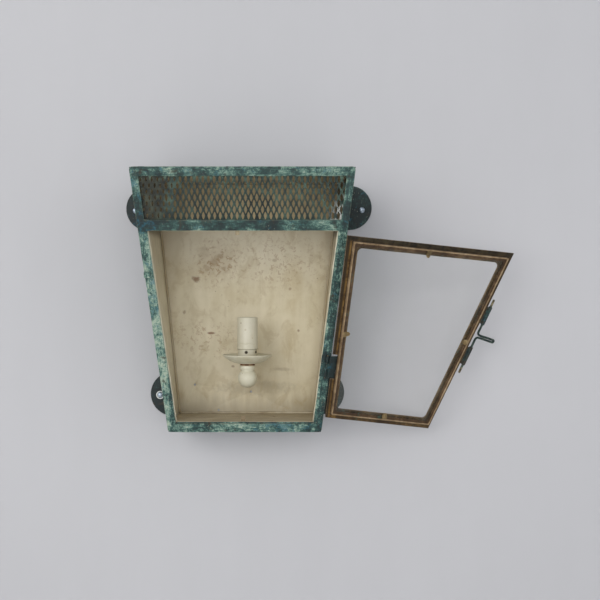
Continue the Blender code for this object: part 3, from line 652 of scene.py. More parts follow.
def glass(name):
    m = Mat(name)
    dust = m.noise(34.0, 6.0, 0.6, 0.3)
    streak = m.noise(1.0, 4.0, 0.5, 0.4, m.scaled(26, 26, 7))
    v = m.add(m.mul(dust, 0.5), m.mul(streak, 0.5))
    m.set("Base Color", m.ramp(v, [(0.35, rgb(206, 212, 198)), (0.65, rgb(226, 230, 218))]))
    m.set("IOR", 2.2)
    m.set("Roughness", m.step(v, 0.42, 0.66, 0.02, 0.09))
    m.set("Alpha", m.step(v, 0.40, 0.64, 0.014, 0.036))
    return m.m


STOP_PAINT = cream("stop_paint", rgb(128, 112, 84), dirt=0.04)
WHITE_PAINT = cream("white_paint_ring", rgb(232, 236, 232), dirt=-0.05)
RUST = rust("rusty_ring")
STEEL = steel("screw_steel", rgb(160, 172, 184))
GLASS = glass("door_glass_dusty")


# ================================================================ front frame: one plate with two openings
def by_frame_edge(f):
    d = abs(f.normal.dot(E_N))
    return 1 if 0.12 < d < 0.97 else 0


wt, wb = half(0.0), half(SLOPE_L)
outer = rounded([(-wt, 0), (wt, 0), (wb, SLOPE_L), (-wb, SLOPE_L)], CORNER, 6)
INNER = [(T_TOPRAIL, 9.8), (T_GRILLE_END, 9.6), (T_MID_END, 11.4), (T_BOTRAIL, 11.9)]
q = lambda t, w, s: (s * (half(t) - w), t)
op_up = rounded([q(T_TOPRAIL, 9.8, -1), q(T_TOPRAIL, 9.8, 1), q(T_GRILLE_END, 9.6, 1), q(T_GRILLE_END, 9.6, -1)], 1.2, 3)
op_lo = rounded([q(T_MID_END, 11.4, -1), q(T_MID_END, 11.4, 1), q(T_BOTRAIL, 11.9, 1), q(T_BOTRAIL, 11.9, -1)], 1.2, 3)
bm = plate(wavy(outer, 4.0, 0.22, 1.0), [wavy(op_up, 4.0, 0.35, 2.0), wavy(op_lo, 4.0, 0.35, 3.0)], -BAR, 0.0, 0.55, front, 3)
finish("front_frame", bm, [GREEN_FRAME, GREEN_EDGE], "casing",
       ("front_top_rail", "front_mid_rail", "front_bottom_rail", "front_left_stile", "front_right_stile"), 50, by_frame_edge)

# light paint line and putty just behind the lower opening
op_in = inset([q(T_MID_END, 11.4, -1), q(T_MID_END, 11.4, 1), q(T_BOTRAIL, 11.9, 1), q(T_BOTRAIL, 11.9, -1)], 0.9)
op_ot = inset([q(T_MID_END, 11.4, -1), q(T_MID_END, 11.4, 1), q(T_BOTRAIL, 11.9, 1), q(T_BOTRAIL, 11.9, -1)], -3.0)
bm = plate([(p.x, p.y) for p in op_ot], [wavy([(p.x, p.y) for p in op_in], 3.0, 0.6, 4.0)], -5.4, -3.8, 0.5, front, 2)
finish("opening_lining", bm, CREAM_SIDE, "casing", (), 50)

# ================================================================ vent grille: expanded metal, seven rows
PX = 6.95                                  # pitch along a row
ROWS = 7
TA, TB = 10.2, 67.0
RP = (TB - TA) / (ROWS + 0.6)
bm = bmesh.new()
HOLE = [(-0.285, 0.0), (-0.21, -0.30), (-0.09, -0.58), (0.0, -0.68), (0.17, -0.40), (0.285, 0.0), (0.21, 0.30), (0.09, 0.58), (0.0, 0.68), (-0.17, 0.40)]
CELL = [(-0.5, 0.0), (-0.333, -0.333), (-0.1667, -0.667), (0.0, -1.0), (0.25, -0.5), (0.5, 0.0), (0.333, 0.333), (0.1667, 0.667), (0.0, 1.0), (-0.25, 0.5)]
GN = -4.2
vcache = {}


def gv(s, t, n, key):
    lim = half(t) - 4.4
    s = max(-lim, min(lim, s))
    t = max(6.6, min(70.9, t))
    k = (round(s, 2), round(t, 2), key)
    if k not in vcache:
        w = 0.25 * noise.noise(Vector((s * 0.03, t * 0.05, 3.3)))
        vcache[k] = bm.verts.new(front(s, t, n + w))
    return vcache[k]


def gf(vs):
    out = []
    for v in vs:
        if v not in out:
            out.append(v)
    if len(out) > 2:
        try:
            return bm.faces.new(out)
        except ValueError:
            return None


for r in range(-1, ROWS + 1):
    tc = TA + RP * (r + 0.8)
    offx = 0.5 * PX if r % 2 else 0.0
    for k in range(-21, 22):
        cx = k * PX + offx
        if abs(cx) > half(tc) - 3.0:
            continue
        if r < 0 or r > ROWS - 1 or abs(cx) > half(tc) - 8.0:
            closed = True
        else:
            closed = False
        j = noise.noise(Vector((cx * 0.9, tc * 0.9, 1.0)))
        clog = 0.0
        if cx < -97 or (cx < -80 and j > 0.1):
            clog = 0.30 + 0.25 * abs(noise.noise(Vector((cx * 0.5, tc * 0.5, 8.0))))
        sz = (1.0 - clog) * (0.98 + 0.08 * j)
        co_, ci_, cb, ib = [], [], [], []
        for (hx, hy), (ex, ey) in zip(HOLE, CELL):
            tilt = 0.42 * (-1 if hy < 0 else (1 if hy > 0 else 0))
            co_.append(gv(cx + ex * PX, tc + ey * RP, GN + 0.28 * (1 if abs(ex) < 0.01 else 0), "o"))
            ci_.append(gv(cx + hx * PX * sz, tc + hy * RP * sz, GN + tilt * 0.7, "i%d_%d" % (r, k)))
            cb.append(gv(cx + ex * PX, tc + ey * RP, GN - 0.55, "ob"))
            ib.append(gv(cx + hx * PX * sz, tc + hy * RP * sz, GN - 0.55 + tilt * 0.7, "ib%d_%d" % (r, k)))
        n_ = len(HOLE)
        for i in range(n_):
            j2 = (i + 1) % n_
            gf([co_[i], co_[j2], ci_[j2], ci_[i]])
            gf([cb[i], ib[i], ib[j2], cb[j2]])
            gf([ci_[i], ci_[j2], ib[j2], ib[i]])
        if closed:
            gf(ci_)
            gf(list(reversed(ib)))


def grille_mat():
    m = Mat("grille_teal")
    x, y, z = m.xyz()
    a = m.noise(120.0, 6.0, 0.65)
    b = m.noise(36.0, 4.0, 0.6, 0.4)
    col = m.ramp(m.add(m.mul(a, 0.6), m.mul(b, 0.4)), [(0.40, rgb(15, 27, 25)), (0.5, rgb(28, 48, 44)), (0.62, rgb(70, 94, 81))])
    grime = m.mul(m.step(m.add(x, m.mul(m.math("SUBTRACT", b, 0.5), 0.05)), -0.078, -0.104), 0.8)
    col = m.mix(grime, col, m.ramp(a, [(0.42, rgb(24, 25, 17)), (0.6, rgb(58, 57, 42))]))
    white = m.mul(m.step(m.add(x, m.mul(z, -0.55)), 0.038, 0.070), m.step(z, 0.142, 0.120), m.step(m.noise(150.0, 5.0, 0.7), 0.47, 0.53))
    col = m.mix(m.mul(white, 0.95), col, rgb(222, 224, 218))
    light = m.mul(m.step(z, 0.150, 0.158), m.step(m.noise(150.0, 4.0), 0.52, 0.6))
    col = m.mix(m.mul(light, 0.6), col, rgb(128, 160, 138))
    m.set("Base Color", col)
    m.set("Roughness", 0.62)
    m.bump(m.add(a, b), 0.5, 0.0005)
    return m.m


finish("expanded_grille", bm, grille_mat(), "casing", ("vent_grille",), 60)

# ================================================================ casing sheets
INSIDE = Vector((0, -70, 0))


def cream_inside(f):
    c = f.calc_center_median()
    return 1 if f.normal.dot(INSIDE - c) > 0 and f.calc_area() > 60 else 0


def sheet_piece(name, ring0, ring1, node, inner):
    bm = loft([ring0, ring1])
    bmesh.ops.recalc_face_normals(bm, faces=bm.faces)
    bevelled(bm, 0.28, 2)
    return finish(name, bm, [GREEN_SHEET, inner], "casing", (node,), 38, cream_inside)


z0, z1 = Z_BOT, ROOF_Z0 - GAP
for sgn, nm in ((-1, "left"), (1, "right")):
    corners = [(y_behind(z1), z1), (YB, z1), (YB, z0), (y_behind(z0), z0)]
    a = [Vector((sgn * (side_x(y, z) - 0.15), y, z)) for y, z in corners]
    b = [Vector((sgn * (side_x(y, z) - 0.15 - SHEET), y, z)) for y, z in corners]
    sheet_piece(nm + "_side_sheet", a, b, nm + "_side_panel", CREAM_SIDE)
    # folded lip of the side sheet inside the front edge, and a solder bead in the back corner
    for zz0, zz1, dep, th, tag in ((88.0, -150.5, 7.5, 0.8, "lip"),):
        r0, r1 = [], []
        for z in (zz0, zz1):
            yy = y_behind(z) + 1.6
            xx = side_x(yy, z) - 0.15 - SHEET - 0.05
            xr = side_x(yy + dep, z) - 0.15 - SHEET - 0.05
            ring = [Vector((sgn * xx, yy, z)), Vector((sgn * xr, yy + dep, z)), Vector((sgn * (xr - th), yy + dep, z)), Vector((sgn * (xx - th - 1.8), yy, z))]
            (r0 if z == zz0 else r1).extend(ring)
        bm = loft([r0, r1])
        bevelled(bm, 0.25, 2)
        finish("side_lip_" + nm, bm, CREAM_LIP, "casing", (), 38)
    pts = []
    for k in range(40):
        z = 163.0 - (163.0 + 151.0) * k / 39
        x = side_x(YB - 1.6, z) - 0.15 - SHEET - 1.3
        pts.append(Vector((sgn * (x + 0.25 * noise.noise(Vector((k * 0.7, sgn, 0)))), YB - 1.7 + 0.3 * noise.noise(Vector((k * 0.9, sgn, 5))), z)))
    bm = wire(pts, 1.7, 10)
    finish("solder_bead_" + nm, bm, CREAM_BEAD, "casing", (), 60)

yr = y_behind(ROOF_Z1) + 0.1
ring = lambda z: [Vector((-side_x(yr, ROOF_Z0), yr, z)), Vector((side_x(yr, ROOF_Z0), yr, z)), Vector((side_x(0, ROOF_Z0), 0.0, z)), Vector((-side_x(0, ROOF_Z0), 0.0, z))]
sheet_piece("roof_sheet", ring(ROOF_Z0), ring(ROOF_Z1), "roof_plate", CREAM_FLOOR)

zt = ROOF_Z0 - GAP
poly = [(-side_x(0, zt), zt), (side_x(0, zt), zt), (side_x(0, Z_BOT), Z_BOT), (-side_x(0, Z_BOT), Z_BOT)]
circ = lambda cx, cy, r, n=14: [(cx + r * math.cos(2 * math.pi * i / n), cy + r * math.sin(2 * math.pi * i / n)) for i in range(n)]
bm = plate(poly, [circ(-73.1, -113.5, 1.6), circ(-39.9, -149.0, 1.5), circ(5.3, -123.3, 1.6)], 0.0, SHEET + 0.2, 0.2, wallp, 1)
finish("back_sheet", bm, [GREEN_SHEET, CREAM_BACK], "casing", ("back_plate",), 38, lambda f: 1 if f.normal.y < -0.2 else 0)

yf = y_behind(FLOOR_Z - 2.0) + 0.2
tz = (FRONT0.z - FLOOR_Z) / -E_T.z
lip_w = half(tz) - 12.4
y_lip = y_behind(FLOOR_Z, -0.4)
xin = lambda y: side_x(y, FLOOR_Z - 2.0) - 0.15 - SHEET - 2 * GAP
poly = [(-lip_w, y_lip), (lip_w, y_lip), (lip_w, yf), (xin(yf), yf), (xin(YB), YB), (-xin(YB), YB), (-xin(yf), yf), (-lip_w, yf)]
bm = plate([(x, -y) for x, y in poly], [], 0.0, 1.8, 0.3, lambda x, y, n: Vector((x, -y, FLOOR_Z - 1.8 + n)), 2)
finish("floor_sheet", bm, [GREEN_SHEET, CREAM_FLOOR], "casing", ("bottom_plate",), 38, lambda f: 1 if f.normal.z > 0.2 else 0)
# solder run along the floor's back edge
pts = [Vector((-92 + 184 * k / 30, YB - 2.0 + 0.3 * noise.noise(Vector((k * 0.8, 2, 5))), FLOOR_Z + 1.0)) for k in range(31)]
finish("solder_bead_floor", wire(pts, 1.5, 10), CREAM_FLOOR, "casing", (), 60)

# ================================================================ ears and screws
for nm, (cx, cz, sx, sz) in EARS.items():
    sgn = -1 if cx < 0 else 1
    e = lambda z: sgn * (side_x(0, z) + GAP)
    # the arc outside the casing
    arc = []
    N = 220
    for i in range(N):
        a = 2 * math.pi * i / N
        x, z = cx + EAR_R * math.cos(a), cz + EAR_R * math.sin(a)
        if sgn * x > sgn * e(z) + 0.02:
            arc.append((a, x, z))
    # put the run of points in order round the arc
    start = 0
    for i in range(len(arc)):
        if (arc[i][0] - arc[i - 1][0]) % (2 * math.pi) > 0.1:
            start = i
    arc = arc[start:] + arc[:start]
    poly = [(x, z) for _, x, z in arc]
    bm = plate(wavy(poly, 3.0, 0.12, cx), [circ(sx, sz, 2.6, 16)], 0.0, EAR_T, 0.7, wallp, 3)
    legz = (cz - 13, cz + 13)
    pts = lambda d: [Vector((sgn * (side_x(y, z) + d), y, z)) for y, z in ((-15, legz[0]), (-1.0, legz[0]), (-1.0, legz[1]), (-15, legz[1]))]
    leg = bevelled(loft([pts(GAP), pts(GAP + 1.6)]), 0.5, 3)
    bits = [bm, leg]
    for dz in (-7.5, 7.5):
        p = Vector((sgn * (side_x(-9, cz + dz) + GAP + 1.5), -9, cz + dz))
        bits.append(turned([(0, 0), (2.2, 0), (2.1, 0.45), (1.6, 0.85), (0.9, 1.05), (0, 1.12)], p, Vector((sgn, 0, 0)), 20))
    finish(nm + "_plate", merge(*bits), [GREEN_DARK, GREEN_EAR_EDGE], "casing", (nm,), 45,
           lambda f: 1 if 0.15 < abs(f.normal.y) < 0.95 and f.calc_area() < 20 else 0)
    c = Vector((sx, 0, sz))
    ax = Vector((0, -1, 0))
    head = turned([(0, 0.4), (2.1, 0.4), (2.1, 3.25), (4.0, 3.3), (4.1, 3.6), (3.75, 4.3), (2.8, 4.95), (1.5, 5.25), (0, 5.3)], c, ax, 28)
    slot_ = loft([[Vector((sx - 5, -7, sz - 0.55)), Vector((sx + 5, -7, sz - 0.55)), Vector((sx + 5, -7, sz + 0.55)), Vector((sx - 5, -7, sz + 0.55))],
                  [Vector((sx - 5, -4.2, sz - 0.55)), Vector((sx + 5, -4.2, sz - 0.55)), Vector((sx + 5, -4.2, sz + 0.55)), Vector((sx - 5, -4.2, sz + 0.55))]])
    bmesh.ops.rotate(slot_, verts=slot_.verts, cent=c, matrix=Matrix.Rotation(math.radians({"ear_top_left": 20, "ear_top_right": 62, "ear_bottom_left": -35, "ear_bottom_right": 80}[nm]), 3, "Y"))
    finish(nm.replace("ear", "screw"), combine(head, slot_, "DIFFERENCE"), STEEL, "casing", (nm.replace("ear", "wall_screw"),), 35)

sx, sz = EARS["ear_bottom_left"][2:]
finish("paint_washer", turned([(4.2, 3.05), (5.5, 3.05), (5.7, 3.2), (5.5, 3.5), (4.8, 3.75), (4.3, 3.6)], Vector((sx, 0, sz)), Vector((0, -1, 0)), 32), WHITE_PAINT, "casing", (), 40)

# ================================================================ lamp
C0 = Vector((LX, LY, 0))
UP = Vector((0, 0, 1))
# ball bracket with its neck
a_neck = math.acos(8.7 / BALL_R)
prof = [(0.0, BALL_Z - BALL_R)]
for i in range(1, 19):
    a = -math.pi / 2 + (a_neck + math.pi / 2) * i / 18
    prof.append((BALL_R * math.cos(a), BALL_Z + BALL_R * math.sin(a)))
prof += [(8.6, -89.3), (8.9, -88.7), (9.7, -88.0), (10.1, -87.2), (10.2, -84.8), (9.9, -83.4), (9.2, -82.9), (0.0, -82.9)]
finish("ball_bracket", turned(prof, C0, UP, 48), CREAM_LAMP, "casing", ("bracket_ball",), 32)
finish("rust_ring", turned([(4.4, -82.6), (9.6, -82.6), (10.0, -82.3), (10.0, -81.6), (9.4, -81.3), (4.4, -81.3)], C0, UP, 40), RUST, "casing", ("locking_ring",), 32)
dish = [(4.4, -81.0), (10.5, -80.8), (15.0, -80.0), (20.0, -78.5), (24.5, -76.4), (28.0, -74.2), (31.2, -71.6), (33.0, -70.0), (33.4, -69.2), (33.2, -68.5), (32.4, -68.3),
        (31.2, -68.9), (29.0, -70.3), (26.0, -71.5), (22.0, -72.4), (18.0, -72.2), (15.0, -71.4), (4.4, -71.2)]
finish("drip_saucer", turned(dish, C0, UP, 72), CREAM_LAMP, "casing", ("drip_dish",), 28)
base = [(4.4, -70.9), (12.5, -70.9), (12.9, -70.5), (13.0, -69.0), (12.8, -64.2), (13.0, -62.8), (12.8, -61.8), (12.4, -61.6), (4.4, -61.6)]
finish("holder_base", turned(base, C0, UP, 48), PLASTIC, "casing", ("lampholder_base",), 28)
sl = [(12.2, -61.3), (HOLDER_R - 0.6, -61.3), (HOLDER_R, -60.8), (HOLDER_R - 0.05, -54.0), (HOLDER_R - 0.5, -53.6), (HOLDER_R - 0.5, -52.9), (HOLDER_R - 0.1, -52.5),
      (HOLDER_R - 0.25, -35.0), (HOLDER_R - 0.35, -22.0), (HOLDER_R - 0.25, -21.4), (HOLDER_R - 0.3, -19.2), (HOLDER_R - 0.9, -18.3), (HOLDER_R - 2.0, -18.05), (10.3, -18.1), (10.0, -18.5), (10.0, -20.0), (12.2, -20.0)]
finish("holder_sleeve", turned(sl, C0, UP, 56), PLASTIC, "casing", ("lampholder_sleeve",), 28)
# vent slot and small moulded bosses on the sleeve's front
bits = []
for ang, zz, w, h, r_ in ((-96, -64.8, 1.0, 2.2, 12.75), (-28, -64.8, 1.0, 2.0, 12.75)):
    d = Vector((math.cos(math.radians(ang)), math.sin(math.radians(ang)), 0))
    bits.append(turned([(0, 0), (h, 0), (h * 0.9, 0.3), (0, 0.34)], C0 + d * r_ + UP * zz, d, 14))
SLOTM = steel("dark_slot", rgb(52, 46, 34))
finish("holder_slots", merge(*bits), SLOTM, "casing", (), 30)
bits = []
for ang, zz, w, r_ in ((-100, -35.0, 1.35, 13.45), (-60, -46.0, 1.0, 13.5), (-128, -26.0, 0.9, 13.4)):
    d = Vector((math.cos(math.radians(ang)), math.sin(math.radians(ang)), 0))
    bits.append(turned([(0, 0), (w, 0), (w * 0.95, 0.3), (w * 0.6, 0.5), (0, 0.42)], C0 + d * r_ + UP * zz, d, 16))
finish("holder_bosses", merge(*bits), CREAM_FLOOR, "casing", (), 30)
# arm and its flange on the back
finish("arm_collar", turned([(0, 1.8), (7.6, 1.8), (7.6, 3.0), (7.0, 3.9), (5.4, 4.2), (0, 4.2)], Vector((LX, 0, BALL_Z)), Vector((0, -1, 0)), 32), CREAM_LAMP, "casing", ("arm_flange",), 30)
# thread with real turns inside the holder
pr = [(7.3, -57.0)]
zz = -57.0
while zz < -27.2:
    pr += [(7.75, zz), (8.1, zz + 0.5), (8.1, zz + 1.0), (7.75, zz + 1.5)]
    zz += 2.1
pr += [(7.3, -27.0)]
finish("thread_shell", turned(pr, C0, UP, 40), CONTACT, "casing", ("lampholder_thread",), 28)

# ================================================================ door frame
RX = [(p.x, p.y) for p in inset(DOOR, 0.0)]
hole = rounded([(p.x, p.y) for p in inset(DOOR, BAND_U)], [6.5, 5.5, 6.0, 6.5], 8)


def notch_outline():
    """The flange's outline with the notch for the hinge in its right side."""
    a, b = (DOOR[1][0] + 2.4, DOOR[1][1]), (DOOR[2][0] + 0.5, DOOR[2][1])
    ex = lambda t: a[0] + (b[0] - a[0]) * (t - a[1]) / (b[1] - a[1])
    h0, h1 = HINGE_T - HINGE_LEN / 2 - 3.5, HINGE_T + HINGE_LEN / 2 + 0.8
    return [(DOOR[0][0] - 0.5, DOOR[0][1] - 0.6), a, (ex(h0), h0), (ex(HINGE_T - HINGE_LEN / 2) - 6.7, h0), (ex(HINGE_T + HINGE_LEN / 2) - 6.7, h1), (ex(h1), h1), b, (DOOR[3][0] + 1.8, DOOR[3][1] + 0.4)]


fl = rounded(notch_outline(), [0.7, 0.7, 0.5, 0.4, 0.4, 0.5, 1.2, 0.7], 3)
bm = plate(wavy(fl, 6.0, 0.14, 11.0), [wavy(hole, 6.0, 0.2, 12.0)], N0, N1, 0.35, dfront, 3)
flange = bm
finish("door_flange", flange, [BRASS_FLANGE, BRASS_RIDGE], "door",
       ("door_top_rail", "door_hinge_stile", "door_bottom_rail", "door_latch_stile"), 50,
       lambda f: 1 if 0.2 < abs(f.normal.dot(RD @ E_N)) < 0.93 else 0)
# the upstand that holds the glass, with its rolled top, and a thin inner angle
o1 = rounded([(p.x, p.y) for p in inset(DOOR, RIM_U0)], 1.4, 4)
i1 = rounded([(p.x, p.y) for p in inset(DOOR, RIM_U0 + 1.6)], 1.2, 4)
bm = plate(wavy(o1, 8.0, 0.10, 13.0), [wavy(i1, 8.0, 0.10, 13.0)], N0 - RIM_DEPTH, N0 + 0.3, 0.45, dfront, 3)
finish("door_upstand", bm, BRASS_RIDGE, "door", (), 60)
# dark strip in the corner between flange and upstand: painted shadow of the gap there, with some grime
o1 = rounded([(p.x, p.y) for p in inset(DOOR, RIM_U0 - 0.9)], 1.4, 4)
i1 = rounded([(p.x, p.y) for p in inset(DOOR, RIM_U0 + 0.1)], 1.4, 4)
bm = plate(wavy(o1, 6.0, 0.25, 17.0), [wavy(i1, 8.0, 0.10, 13.0)], N0 - 0.14, N0 + 0.10, 0.05, dfront, 1)
finish("door_shadow_line", bm, GRIME_SHADOW, "door", (), 50)
o1 = rounded([(p.x, p.y) for p in inset(DOOR, RIM_U0 + 1.6)], 1.6, 4)
i1 = rounded([(p.x, p.y) for p in inset(DOOR, 11.2)], [4.0, 4.0, 4.0, 4.0], 6)
bm = plate(wavy(o1, 8.0, 0.1, 15.0), [wavy(i1, 5.0, 0.30, 15.0)], N0 - GAP - 2.75, N0 - GAP - 2.05, 0.2, dfront, 2)
finish("door_putty_angle", bm, BRASS_DOOR, "door", (), 50)
# shallow bead round the sight opening, on the flange's back
o1 = rounded([(p.x, p.y) for p in inset(DOOR, BAND_U - 1.3)], 5.5, 8)
i1 = rounded([(p.x, p.y) for p in inset(DOOR, BAND_U - 0.1)], 5.5, 8)
bm = plate(o1, [i1], N1 - 0.3, N1 + 0.45, 0.3, dfront, 2)
finish("door_front_bead", bm, BRASS_RIDGE, "door", (), 60)

# glass: a slightly uneven old pane
g = inset(DOOR, GLASS_U)
bm = bmesh.new()
NX, NT = 26, 34
grid = {}
for side, n in ((0, N0 - GAP), (1, N0 - GAP - 2.0)):
    for i in range(NX + 1):
        for j in range(NT + 1):
            a, b = g[0].lerp(g[1], i / NX), g[3].lerp(g[2], i / NX)
            p = a.lerp(b, j / NT)
            w = 0.05 * noise.noise(Vector((p.x * 0.02, p.y * 0.02, 9.0 + side * 4)))
            grid[side, i, j] = bm.verts.new(dfront(p.x, p.y, n + (w if 0 < i < NX and 0 < j < NT else 0)))
for side in (0, 1):
    for i in range(NX):
        for j in range(NT):
            bm.faces.new([grid[side, i, j], grid[side, i + 1, j], grid[side, i + 1, j + 1], grid[side, i, j + 1]])
rim = [(i, 0) for i in range(NX)] + [(NX, j) for j in range(NT)] + [(i, NT) for i in range(NX, 0, -1)] + [(0, j) for j in range(NT, 0, -1)]
for a, b in zip(rim, rim[1:] + rim[:1]):
    bm.faces.new([grid[(0,) + a], grid[(0,) + b], grid[(1,) + b], grid[(1,) + a]])
finish("door_pane", bm, GLASS, "door", ("door_glass",), 40)

# bent clips, from the upstand down over the edge of the glass
CLIP_N = N0 - GAP - 2.0 - GAP
for i, k, nm in ((0, 0.53, "top"), (1, 0.52, "hinge_side"), (2, 0.52, "bottom"), (3, 0.50, "latch_side")):
    q0, q1 = inset(DOOR, RIM_U1), inset(DOOR, RIM_U1 + 9.5)
    a, b = q0[i], q0[(i + 1) % 4]
    ev = (b - a).normalized()
    c0 = a.lerp(b, k)
    inw = Vector((-ev.y, ev.x))
    if (q1[i] - a).dot(inw) < 0:
        inw = -inw
    path = [(-0.3, -0.9, 3.5), (0.8, -1.6, 3.5), (2.2, -1.3, 3.5), (3.9, -0.25, 3.4), (5.7, 0.0, 3.1), (7.2, -0.15, 2.6), (8.3, -0.6, 1.9), (8.8, -1.1, 1.0)]
    top_r, bot_r = [], []
    rings = []
    for u, dn, w in path:
        rings.append([(u, dn, -w), (u, dn, w), (u, dn - 0.7, w), (u, dn - 0.7, -w)])
    pts = [[dfront((c0 + ev * v + inw * u).x, (c0 + ev * v + inw * u).y, CLIP_N + dn) for u, dn, v in rg] for rg in rings]
    bm = bevelled(loft(pts), 0.16, 2, 50)
    finish("clip_" + nm, bm, CLIP_GOLD, "door", ("glass_clip_" + nm,), 40)

# ================================================================ latch
A, B = Vector(DOOR[0]), Vector(DOOR[3])
e_l = (B - A).normalized()
o_l = Vector((-e_l.y, e_l.x))
if o_l.x > 0:
    o_l = -o_l


def lpt(u, n, t):
    p = A + e_l * ((t - A.y) / e_l.y) + o_l * u
    return dfront(p.x, p.y, n)


for nm, key in (("latch_tube_upper", "upper"), ("latch_tube_lower", "lower")):
    t0, t1 = LATCH_T[key]
    ax = (lpt(LATCH_OFF, LATCH_N, t1) - lpt(LATCH_OFF, LATCH_N, t0))
    L = ax.length
    R, r_ = LATCH_TUBE_R, LATCH_ROD_R + 0.3
    tube = turned([(r_, 0.2), (r_ + 0.2, 0), (R - 0.3, 0), (R, 0.35), (R, L - 0.35), (R - 0.3, L), (r_ + 0.2, L), (r_, L - 0.2)], lpt(LATCH_OFF, LATCH_N, t0), ax, 28)
    ring0 = [lpt(u, n, t0 + 1.0) for u, n in ((LATCH_OFF - 1.9, 2.6), (LATCH_OFF - 1.9, 4.0), (-5.5, 4.0), (-5.5, 2.6))]
    ring1 = [lpt(u, n, t1 - 1.0) for u, n in ((LATCH_OFF - 1.9, 2.6), (LATCH_OFF - 1.9, 4.0), (-5.5, 4.0), (-5.5, 2.6))]
    tab = bevelled(loft([ring0, ring1]), 0.35, 3)
    rv = []
    for f in (0.25, 0.75):
        t = t0 + (t1 - t0) * f
        rv.append(turned([(0, 0), (1.5, 0), (1.4, 0.3), (0.9, 0.6), (0, 0.7)], lpt(-2.8, 3.95, t), (lpt(-2.8, 4.95, t) - lpt(-2.8, 3.95, t)), 16))
    finish(nm + "_brazed", merge(tube, tab, *rv), LATCH_GREEN, "door", (nm,), 40)

t0, t1 = LATCH_T["rod"]
TM, HW = LATCH_T["handle"], 1.75
path = [(0.0, t0), (0.0, t0 + 10), (0.0, (t0 + TM) / 2)]
for k in range(9):
    a = math.radians(90 * k / 8)
    path.append((LATCH_BEND * (1 - math.cos(a)), TM - HW - LATCH_BEND + LATCH_BEND * math.sin(a)))
for u in (8.0, 13.0, 18.0):
    path.append((u, TM - HW + 0.15 * math.sin(u)))
for k in range(11):
    a = math.radians(-90 + 180 * k / 10)
    path.append((LATCH_HANDLE - HW + HW * math.cos(a), TM + HW * math.sin(a)))
for u in (18.0, 13.0, 8.0):
    path.append((u, TM + HW + 0.15 * math.sin(u * 1.3)))
for k in range(9):
    a = math.radians(90 - 90 * k / 8)
    path.append((LATCH_BEND * (1 - math.cos(a)), TM + HW + LATCH_BEND - LATCH_BEND * math.sin(a)))
path += [(0.0, (t1 + TM) / 2), (0.0, t1 - 10), (0.0, t1)]
bolt_pts = [lpt(LATCH_OFF + u, LATCH_N, t) for u, t in path]


def bolt_mat():
    m = Mat("bolt_patina")
    x, y, z = m.xyz()
    a = m.noise(220.0, 6.0, 0.65)
    col = m.ramp(a, [(0.36, rgb(26, 40, 38)), (0.5, rgb(44, 62, 56)), (0.66, rgb(96, 112, 98))])
    brass = m.ramp(a, [(0.36, rgb(58, 50, 34)), (0.6, rgb(150, 136, 100))])
    p0, p1 = bolt_pts[0] * MM, bolt_pts[-1] * MM
    tips = m.math("MAXIMUM", m.step(z, p0.z - 0.010, p0.z - 0.005), m.step(z, p1.z + 0.008, p1.z + 0.004))
    m.set("Base Color", m.mix(m.mul(tips, 0.85), col, brass))
    m.set("Metallic", 0.35)
    m.set("Roughness", 0.45)
    m.bump(a, 0.35, 0.0004)
    return m.m


finish("bent_wire_bolt", wire(bolt_pts, 1.55, 18), bolt_mat(), "latch", ("latch_bolt",), 60)

# ================================================================ CAD pieces that stay, with their materials
KEEP = {
    "hinge_body_leaf": HINGE_GREEN, "hinge_door_leaf": HINGE_GREEN, "hinge_pin": CLIP_GOLD, "latch_keeper": GREEN_FRAME,
    "door_stop_top": CREAM_BEAD, "door_stop_bottom": STOP_PAINT, "arm_tube": CREAM_LAMP, "threaded_nipple": CONTACT,
    "lampholder_insulator": PLASTIC, "centre_contact": CONTACT, "terminal_screw_left": STEEL, "terminal_screw_right": STEEL,
}
for nm, mt in KEEP.items():
    o = NODES[nm]
    o.data.materials.clear()
    o.data.materials.append(mt)

# ================================================================ stage, camera, lights
def stage_mat(name, c, see_through=False):
    m = Mat(name)
    a = m.noise(3.0, 4.0, 0.5)
    up = m.noise(1.0, 4.0, 0.6, 0.0, m.scaled(14, 14, 3))
    v = m.add(m.mul(a, 0.6), m.mul(up, 0.4))
    d = tuple(0.965 * k for k in c[:3]) + (1,)
    m.set("Base Color", m.ramp(v, [(0.35, d), (0.65, c)]))
    m.set("Roughness", 0.75)
    m.bump(m.add(m.noise(60.0, 5.0, 0.6), up), 0.05, 0.001)
    if see_through:
        gnode = m.nt.nodes.new("ShaderNodeNewGeometry")
        inv = m.math("SUBTRACT", 1.0, gnode.outputs["Backfacing"])
        m.set("Alpha", inv)
    return m.m


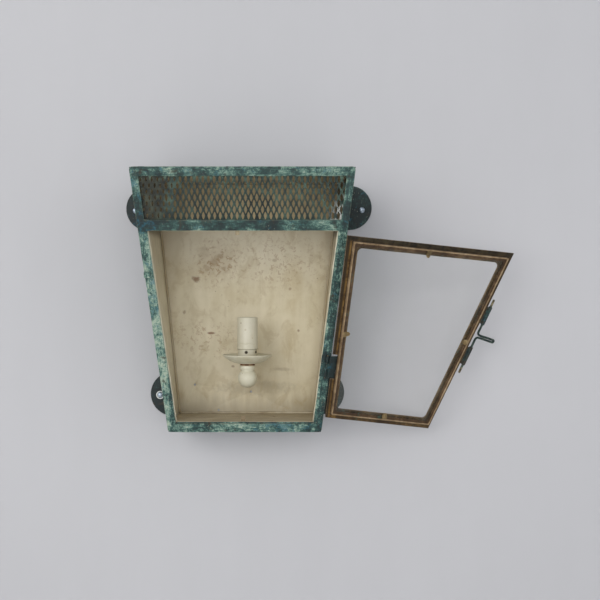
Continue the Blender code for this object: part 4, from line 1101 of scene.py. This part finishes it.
def quad(name, pts, mat):
    me = bpy.data.meshes.new(name)
    b = bmesh.new()
    b.faces.new([b.verts.new(p) for p in pts])
    b.to_mesh(me)
    b.free()
    me.materials.append(mat)
    o = bpy.data.objects.new(name, me)
    sc.collection.objects.link(o)
    return o


wall = quad("stage_wall", [(-4, 0.001, -0.62), (4, 0.001, -0.62), (4, 0.001, 4), (-4, 0.001, 4)], stage_mat("stage_wall_paint", rgb(199, 199, 202), True))
wall.visible_shadow = False
quad("stage_floor", [(-4, -6, -0.62), (4, -6, -0.62), (4, 4, -0.62), (-4, 4, -0.62)], stage_mat("stage_floor_paint", rgb(216, 216, 216)))

cam = bpy.data.cameras.new("camera")
co = bpy.data.objects.new("camera", cam)
sc.collection.objects.link(co)
co.location = (0.0459, -1.400, 0.0048)
co.rotation_euler = (math.radians(90), 0, 0)
cam.lens, cam.sensor_width, cam.shift_x, cam.shift_y, cam.clip_start = 60.0, 36.0, 20 / 600.0, 0, 0.01
sc.camera = co

w = bpy.data.worlds.new("studio")
sc.world = w
w.use_nodes = True
w.node_tree.nodes["Background"].inputs[0].default_value = (0.93, 0.95, 1.0, 1)
w.node_tree.nodes["Background"].inputs[1].default_value = 0.47


def area(name, loc, target, size, power, col=(1, 1, 1)):
    l = bpy.data.lights.new(name, "AREA")
    l.shape = "SQUARE"
    l.size, l.energy, l.color = size, power, col
    o = bpy.data.objects.new(name, l)
    sc.collection.objects.link(o)
    o.location = loc
    o.rotation_euler = (Vector(target) - Vector(loc)).to_track_quat("-Z", "Y").to_euler()


area("key", (-1.35, -2.45, 0.60), (0.05, -0.05, 0.0), 1.6, 24, (1.0, 0.985, 0.96))
area("fill_right", (1.9, -2.0, 0.2), (0.0, -0.05, 0.0), 1.8, 8, (0.97, 0.98, 1.0))
area("front_fill", (0.0, -2.9, 0.05), (0.0, 0.0, 0.0), 2.2, 25, (1.0, 0.99, 0.97))
area("back_fill", (0.6, 2.4, 0.9), (0.0, -0.05, 0.0), 1.8, 14, (1.0, 1.0, 1.0))
sc.view_settings.view_transform = "Standard"
sc.view_settings.look = "None"
